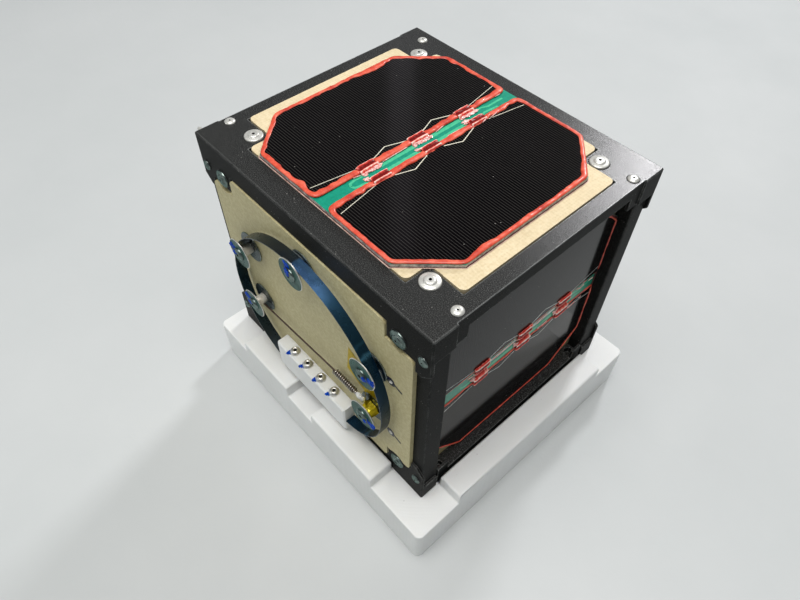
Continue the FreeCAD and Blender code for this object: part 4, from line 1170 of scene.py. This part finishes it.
# %% Posts
WASHER = 0.5
INSIDE = 4.3
CAP = WASHER + INSIDE
BIG_WASHER = [(1.5, 0.05), (5.80, 0.02), (6.0, 0.14), (6.0, 0.36), (5.80, 0.49), (5.4, 0.47), (1.5, 0.47),
              (1.5, 0.05)]
TUBE = [(0, WASHER), (1.85, WASHER), (2.0, WASHER + 0.2), (2.0, CAP - 0.2), (1.85, CAP), (0, CAP)]
POST_HEAD = [(0, 0.75), (0.75, 0.75), (0.8, 1.34), (1.1, 1.4), (1.9, 1.3), (2.4, 1.05), (2.6, 0.75), (2.6, 0.48),
             (0, 0.48)]
spots = shells("guide_spacers", "front")
washers, inner_washers, spacers, heads = bmesh.new(), bmesh.new(), bmesh.new(), bmesh.new()
for x, y, _ in spots:
    for target, base in ((inner_washers, 0.0), (washers, CAP)):
        lathe(target, BIG_WASHER, (x, y, base), 56)
        for face in target.faces:  # the rim takes the second, brighter finish: a painted highlight
            reaches = [(vert.co - Vector((x, y, 0))).to_2d().length for vert in face.verts]
            if min(reaches) > 5.7 and max(reaches) < 6.1:
                face.material_index = 1
    lathe(spacers, TUBE, (x, y, 0), 32)
    lathe(heads, POST_HEAD, (x, y, CAP), 36, 0.8, dice.uniform(0, math.pi))
# Outer washers: painted teal reflection with a painted highlight on the rim; inner washers and screws: painted
# shade.
finish_piece("post_washers", washers, (TEAL_REFLECTION_WASHER, STAINLESS), "front", ["guide_washers"], 30)
finish_piece("post_inner_washers", inner_washers, (DEEP_SHADE_STEEL, SHADE_TEAL_STEEL), "front", (), 30)
finish_piece("post_spacers", spacers, SPACER, "front", ["guide_spacers"])
finish_piece("post_screws", heads, (SHADE_TEAL_STEEL, HOLE), "front", ["guide_screws"])
print("posts:", [(round(x, 1), round(y, 1)) for x, y, _ in spots])

# %% [markdown]
# ## Clamp screws and torque ink
#
# Four bright domed screws close the clamp.  Blue ink across a screw and its seat shows
# if the screw ever turns; here it is a row of small flattened drops.

# %% Clamp screws
_, CLAMP_TOP, CLAMP_DEPTH = face_box("antenna_clamp", "front")[1]
SCREW_XS = [-12.0, -4.0, 4.0, 12.0]
CLAMP_HEAD = [(0, 0.95), (0.7, 0.95), (0.75, 1.32), (1.0, 1.42), (1.5, 1.2), (1.9, 0.75), (2.1, 0.2), (2.1, 0)]
bm = bmesh.new()
for x in SCREW_XS:
    made = lathe(bm, CLAMP_HEAD, (0, 0, 0), 32, 0.75, dice.uniform(0, math.pi))
    bmesh.ops.rotate(bm, verts=made, cent=(0, 0, 0), matrix=Matrix.Rotation(-math.pi / 2, 3, "X"))
    bmesh.ops.translate(bm, verts=made, vec=(x, CLAMP_TOP, CLAMP_DEPTH / 2))
finish_piece("clamp_screw_heads", bm, (STAINLESS, HOLE), "front", ["clamp_screws"])

# %% Ink
bm = bmesh.new()
for number, x in enumerate(SCREW_XS):
    for step in range(6):
        spread = 1.15 - 0.10 * step
        spot = (x - 0.9 - 0.12 * step + 0.10 * number, CLAMP_TOP + 0.03, CLAMP_DEPTH / 2 + 1.3 + 0.30 * step)
        blob(bm, spot, (0.85 * spread, 0.16, 0.62 * spread), number * 5 + step, 1.1)
for x, y, _ in spots:  # which way the stroke runs and where it starts, post by post
    if x < -10:
        turn, start = 162, 1.4
    elif x < 10:
        turn, start = 107, 0.6
    else:
        turn, start = (4, 1.6) if y > 0 else (-14, 2.0)
    for step in range(8):
        out = start + 0.55 * step
        height = CAP + (1.33 if out < 2.3 else 0.5)
        angle = math.radians(turn + 12 * math.sin(2.0 * step))
        blob(bm, (x + out * math.cos(angle), y + out * math.sin(angle), height), (0.95, 0.9, 0.16), x + step, 0.9)
finish_piece("torque_ink", bm, INK, "front")
print("clamp top at", round(CLAMP_TOP, 2))

# %% [markdown]
# ## The hold-down line and its spring
#
# A dark waxed line keeps the tape stowed.  It is taut, so it is a straight round rod;
# the spring is a helix, made by spinning a small circle along a screw path, and the
# line's end is crimped in a pale sleeve.

# %% Line
LIFT = 1.8
LINE_RADIUS = 0.34
LENGTHS = 24
low_left = min(spots, key=lambda s: s[0] + s[1])
low_right = min(spots, key=lambda s: s[1] - s[0])
spring_low, spring_high = face_box("hold_down_spring", "front")
SPRING_Y = (spring_low.y + spring_high.y) / 2
SPRING_X = (spring_low.x, spring_high.x)


def rod(bm, start, end, radius, waver=0.0):
    """A round bar in short lengths, which a noise may push about a little."""
    start, end = Vector(start), Vector(end)
    turn = (end - start).to_track_quat("Z", "Y").to_matrix().to_4x4()
    verts = bmesh.ops.create_circle(bm, cap_ends=True, radius=radius, segments=12,
                                    matrix=Matrix.Translation(start) @ turn)["verts"]
    face = next(iter(set(verts[0].link_faces)))
    for step in range(LENGTHS):
        made = pull(bm, [face], (end - start) / LENGTHS)
        face = next(item for item in made if isinstance(item, bmesh.types.BMFace))
        nudge = Vector((0, wobble(step * 0.7, 1, 2), wobble(step * 0.7, 5, 6)))
        bmesh.ops.translate(bm, verts=face.verts, vec=nudge * waver)


bm = bmesh.new()
spring_start = (SPRING_X[0] + 0.6, SPRING_Y, LIFT)
rod(bm, (low_left[0], low_left[1] - 2.35, LIFT), spring_start, LINE_RADIUS, 0.05)
rod(bm, spring_start, (SPRING_X[1], SPRING_Y, LIFT), 0.75)
rod(bm, (SPRING_X[1] - 0.4, SPRING_Y, LIFT), (low_right[0] - 2.1, SPRING_Y, LIFT), LINE_RADIUS, 0.05)
finish_piece("waxed_line", bm, LINE, "front", ["hold_down_line"])


# %% Spring
STEPS_PER_TURN = 18


def helix(bm, start, end, radius, wire, turns):
    """A small circle carried along a screw path about the line from start to end."""
    start, end = Vector(start), Vector(end)
    axis = (end - start).normalized()
    verts = bmesh.ops.create_circle(bm, cap_ends=False, radius=wire, segments=8)["verts"]
    side = axis.orthogonal().normalized()
    seat = Matrix((side, axis, side.cross(axis))).transposed()
    bmesh.ops.transform(bm, verts=verts, matrix=Matrix.Translation(start + side * radius) @ seat.to_4x4())
    edges = list({edge for vert in verts for edge in vert.link_edges})
    total = turns * STEPS_PER_TURN
    bmesh.ops.spin(bm, geom=verts + edges, cent=start, axis=axis, dvec=(end - start) / total,
                   angle=2 * math.pi * turns, steps=total)


bm = bmesh.new()
helix(bm, (SPRING_X[0] + 0.3, SPRING_Y, LIFT), (SPRING_X[1] - 0.3, SPRING_Y, LIFT), 1.0, 0.26, 12)
blob(bm, (SPRING_X[1] + 0.2, SPRING_Y, LIFT), (0.8, 0.85, 0.85), 3, 0.1)
finish_piece("tension_spring", bm, WIRE, "front", ["hold_down_spring"])

# %% Crimp
bm = bmesh.new()
blob(bm, (SPRING_X[1] + 2.4, SPRING_Y + 0.1, LIFT + 0.1), (2.3, 1.2, 1.0), 4, 0.3)
blob(bm, (SPRING_X[1] + 4.6, SPRING_Y + 1.3, LIFT + 0.5), (1.1, 1.3, 0.9), 8, 0.4)
finish_piece("crimp", bm, SLEEVE, "front", (), 60, 1)
print("spring from", [round(x, 1) for x in SPRING_X])

# %% [markdown]
# ## Film tape
#
# A patch of amber film lies on the board behind the tape, and a crumpled gold strip of
# it wraps the lower right post.  The patch is one flat face, subdivided and made a
# little uneven; the wrap is a tube whose rings are pushed about, with a loose flap.

# %% Film
PATCH = ((20.4, 9.6), (18.6, -4.2), (35.0, -13.0), (34.0, 1.8))
bm = bmesh.new()
bm.faces.new([bm.verts.new((x, y, 0.10)) for x, y in PATCH])
bmesh.ops.subdivide_edges(bm, edges=bm.edges, cuts=10, use_grid_fill=True)
for vert in bm.verts:
    vert.co.z += 0.03 + 0.05 * noise.noise(vert.co * 0.4)
bmesh.ops.solidify(bm, geom=list(bm.faces), thickness=0.04)
finish_piece("film_patch", bm, FILM, "front", (), 60)

bm = bmesh.new()
bmesh.ops.create_cone(bm, cap_ends=False, radius1=2.9, radius2=2.5, depth=3.9, segments=28)
bmesh.ops.subdivide_edges(bm, edges=list(bm.edges), cuts=3, use_grid_fill=True)
for vert in bm.verts:
    vert.co.xy *= 1.0 + 0.22 * wobble(vert.co.x * 0.9, vert.co.y * 0.9, vert.co.z * 0.5)
    vert.co += Vector((low_right[0], low_right[1], WASHER + INSIDE / 2))
for vert in bmesh.ops.create_grid(bm, x_segments=8, y_segments=8, size=1.0)["verts"]:
    u, w = vert.co.x, vert.co.y
    wave = 0.6 * wobble(u * 2, w * 2, 4)
    vert.co = Vector((low_right[0] - 1.2 + 1.6 * u + wave, low_right[1] + 5.0 + 3.6 * w, 2.5 + 1.5 * u + wave))
bmesh.ops.solidify(bm, geom=list(bm.faces), thickness=0.06)
finish_piece("film_wrap", bm, GILT, "front", (), 50)
print("film done")

# %% [markdown]
# ## Small screws in the front board
#
# Two tiny screws sit near the board's right edge, each in a ring of black wax with a
# tail to the right.

# %% Board screws
TINY_HEAD = [(0, 0.12), (0.35, 0.12), (0.4, 0.36), (0.75, 0.32), (0.95, 0.12), (0.95, 0)]
bm, tails = bmesh.new(), bmesh.new()
for number, (x, y) in enumerate(((40.9, 13.6), (40.7, -19.7))):
    lathe(bm, TINY_HEAD, (x, y, 0), 24)
    for step in range(8):
        turn = math.pi * step / 4
        blob(tails, (x + 1.3 * math.cos(turn), y + 1.3 * math.sin(turn), 0.05), (0.75, 0.75, 0.16), number + step)
        blob(tails, (x + 1.5 + 0.45 * step, y - 0.15 * step, 0.05), (0.52, 0.44, 0.12), number + step)
finish_piece("board_screws", bm, STAINLESS, "front")
finish_piece("board_screw_wax", tails, WAX, "front")

# %% [markdown]
# ## The floor
#
# One large plane under the tray.  It isn't part of the object.

# %% Floor
bm = bmesh.new()
bmesh.ops.create_grid(bm, x_segments=1, y_segments=1, size=3.0)
floor = into_scene("floor", mesh_from(bm, "floor"))
floor.data.materials.append(FLOOR)
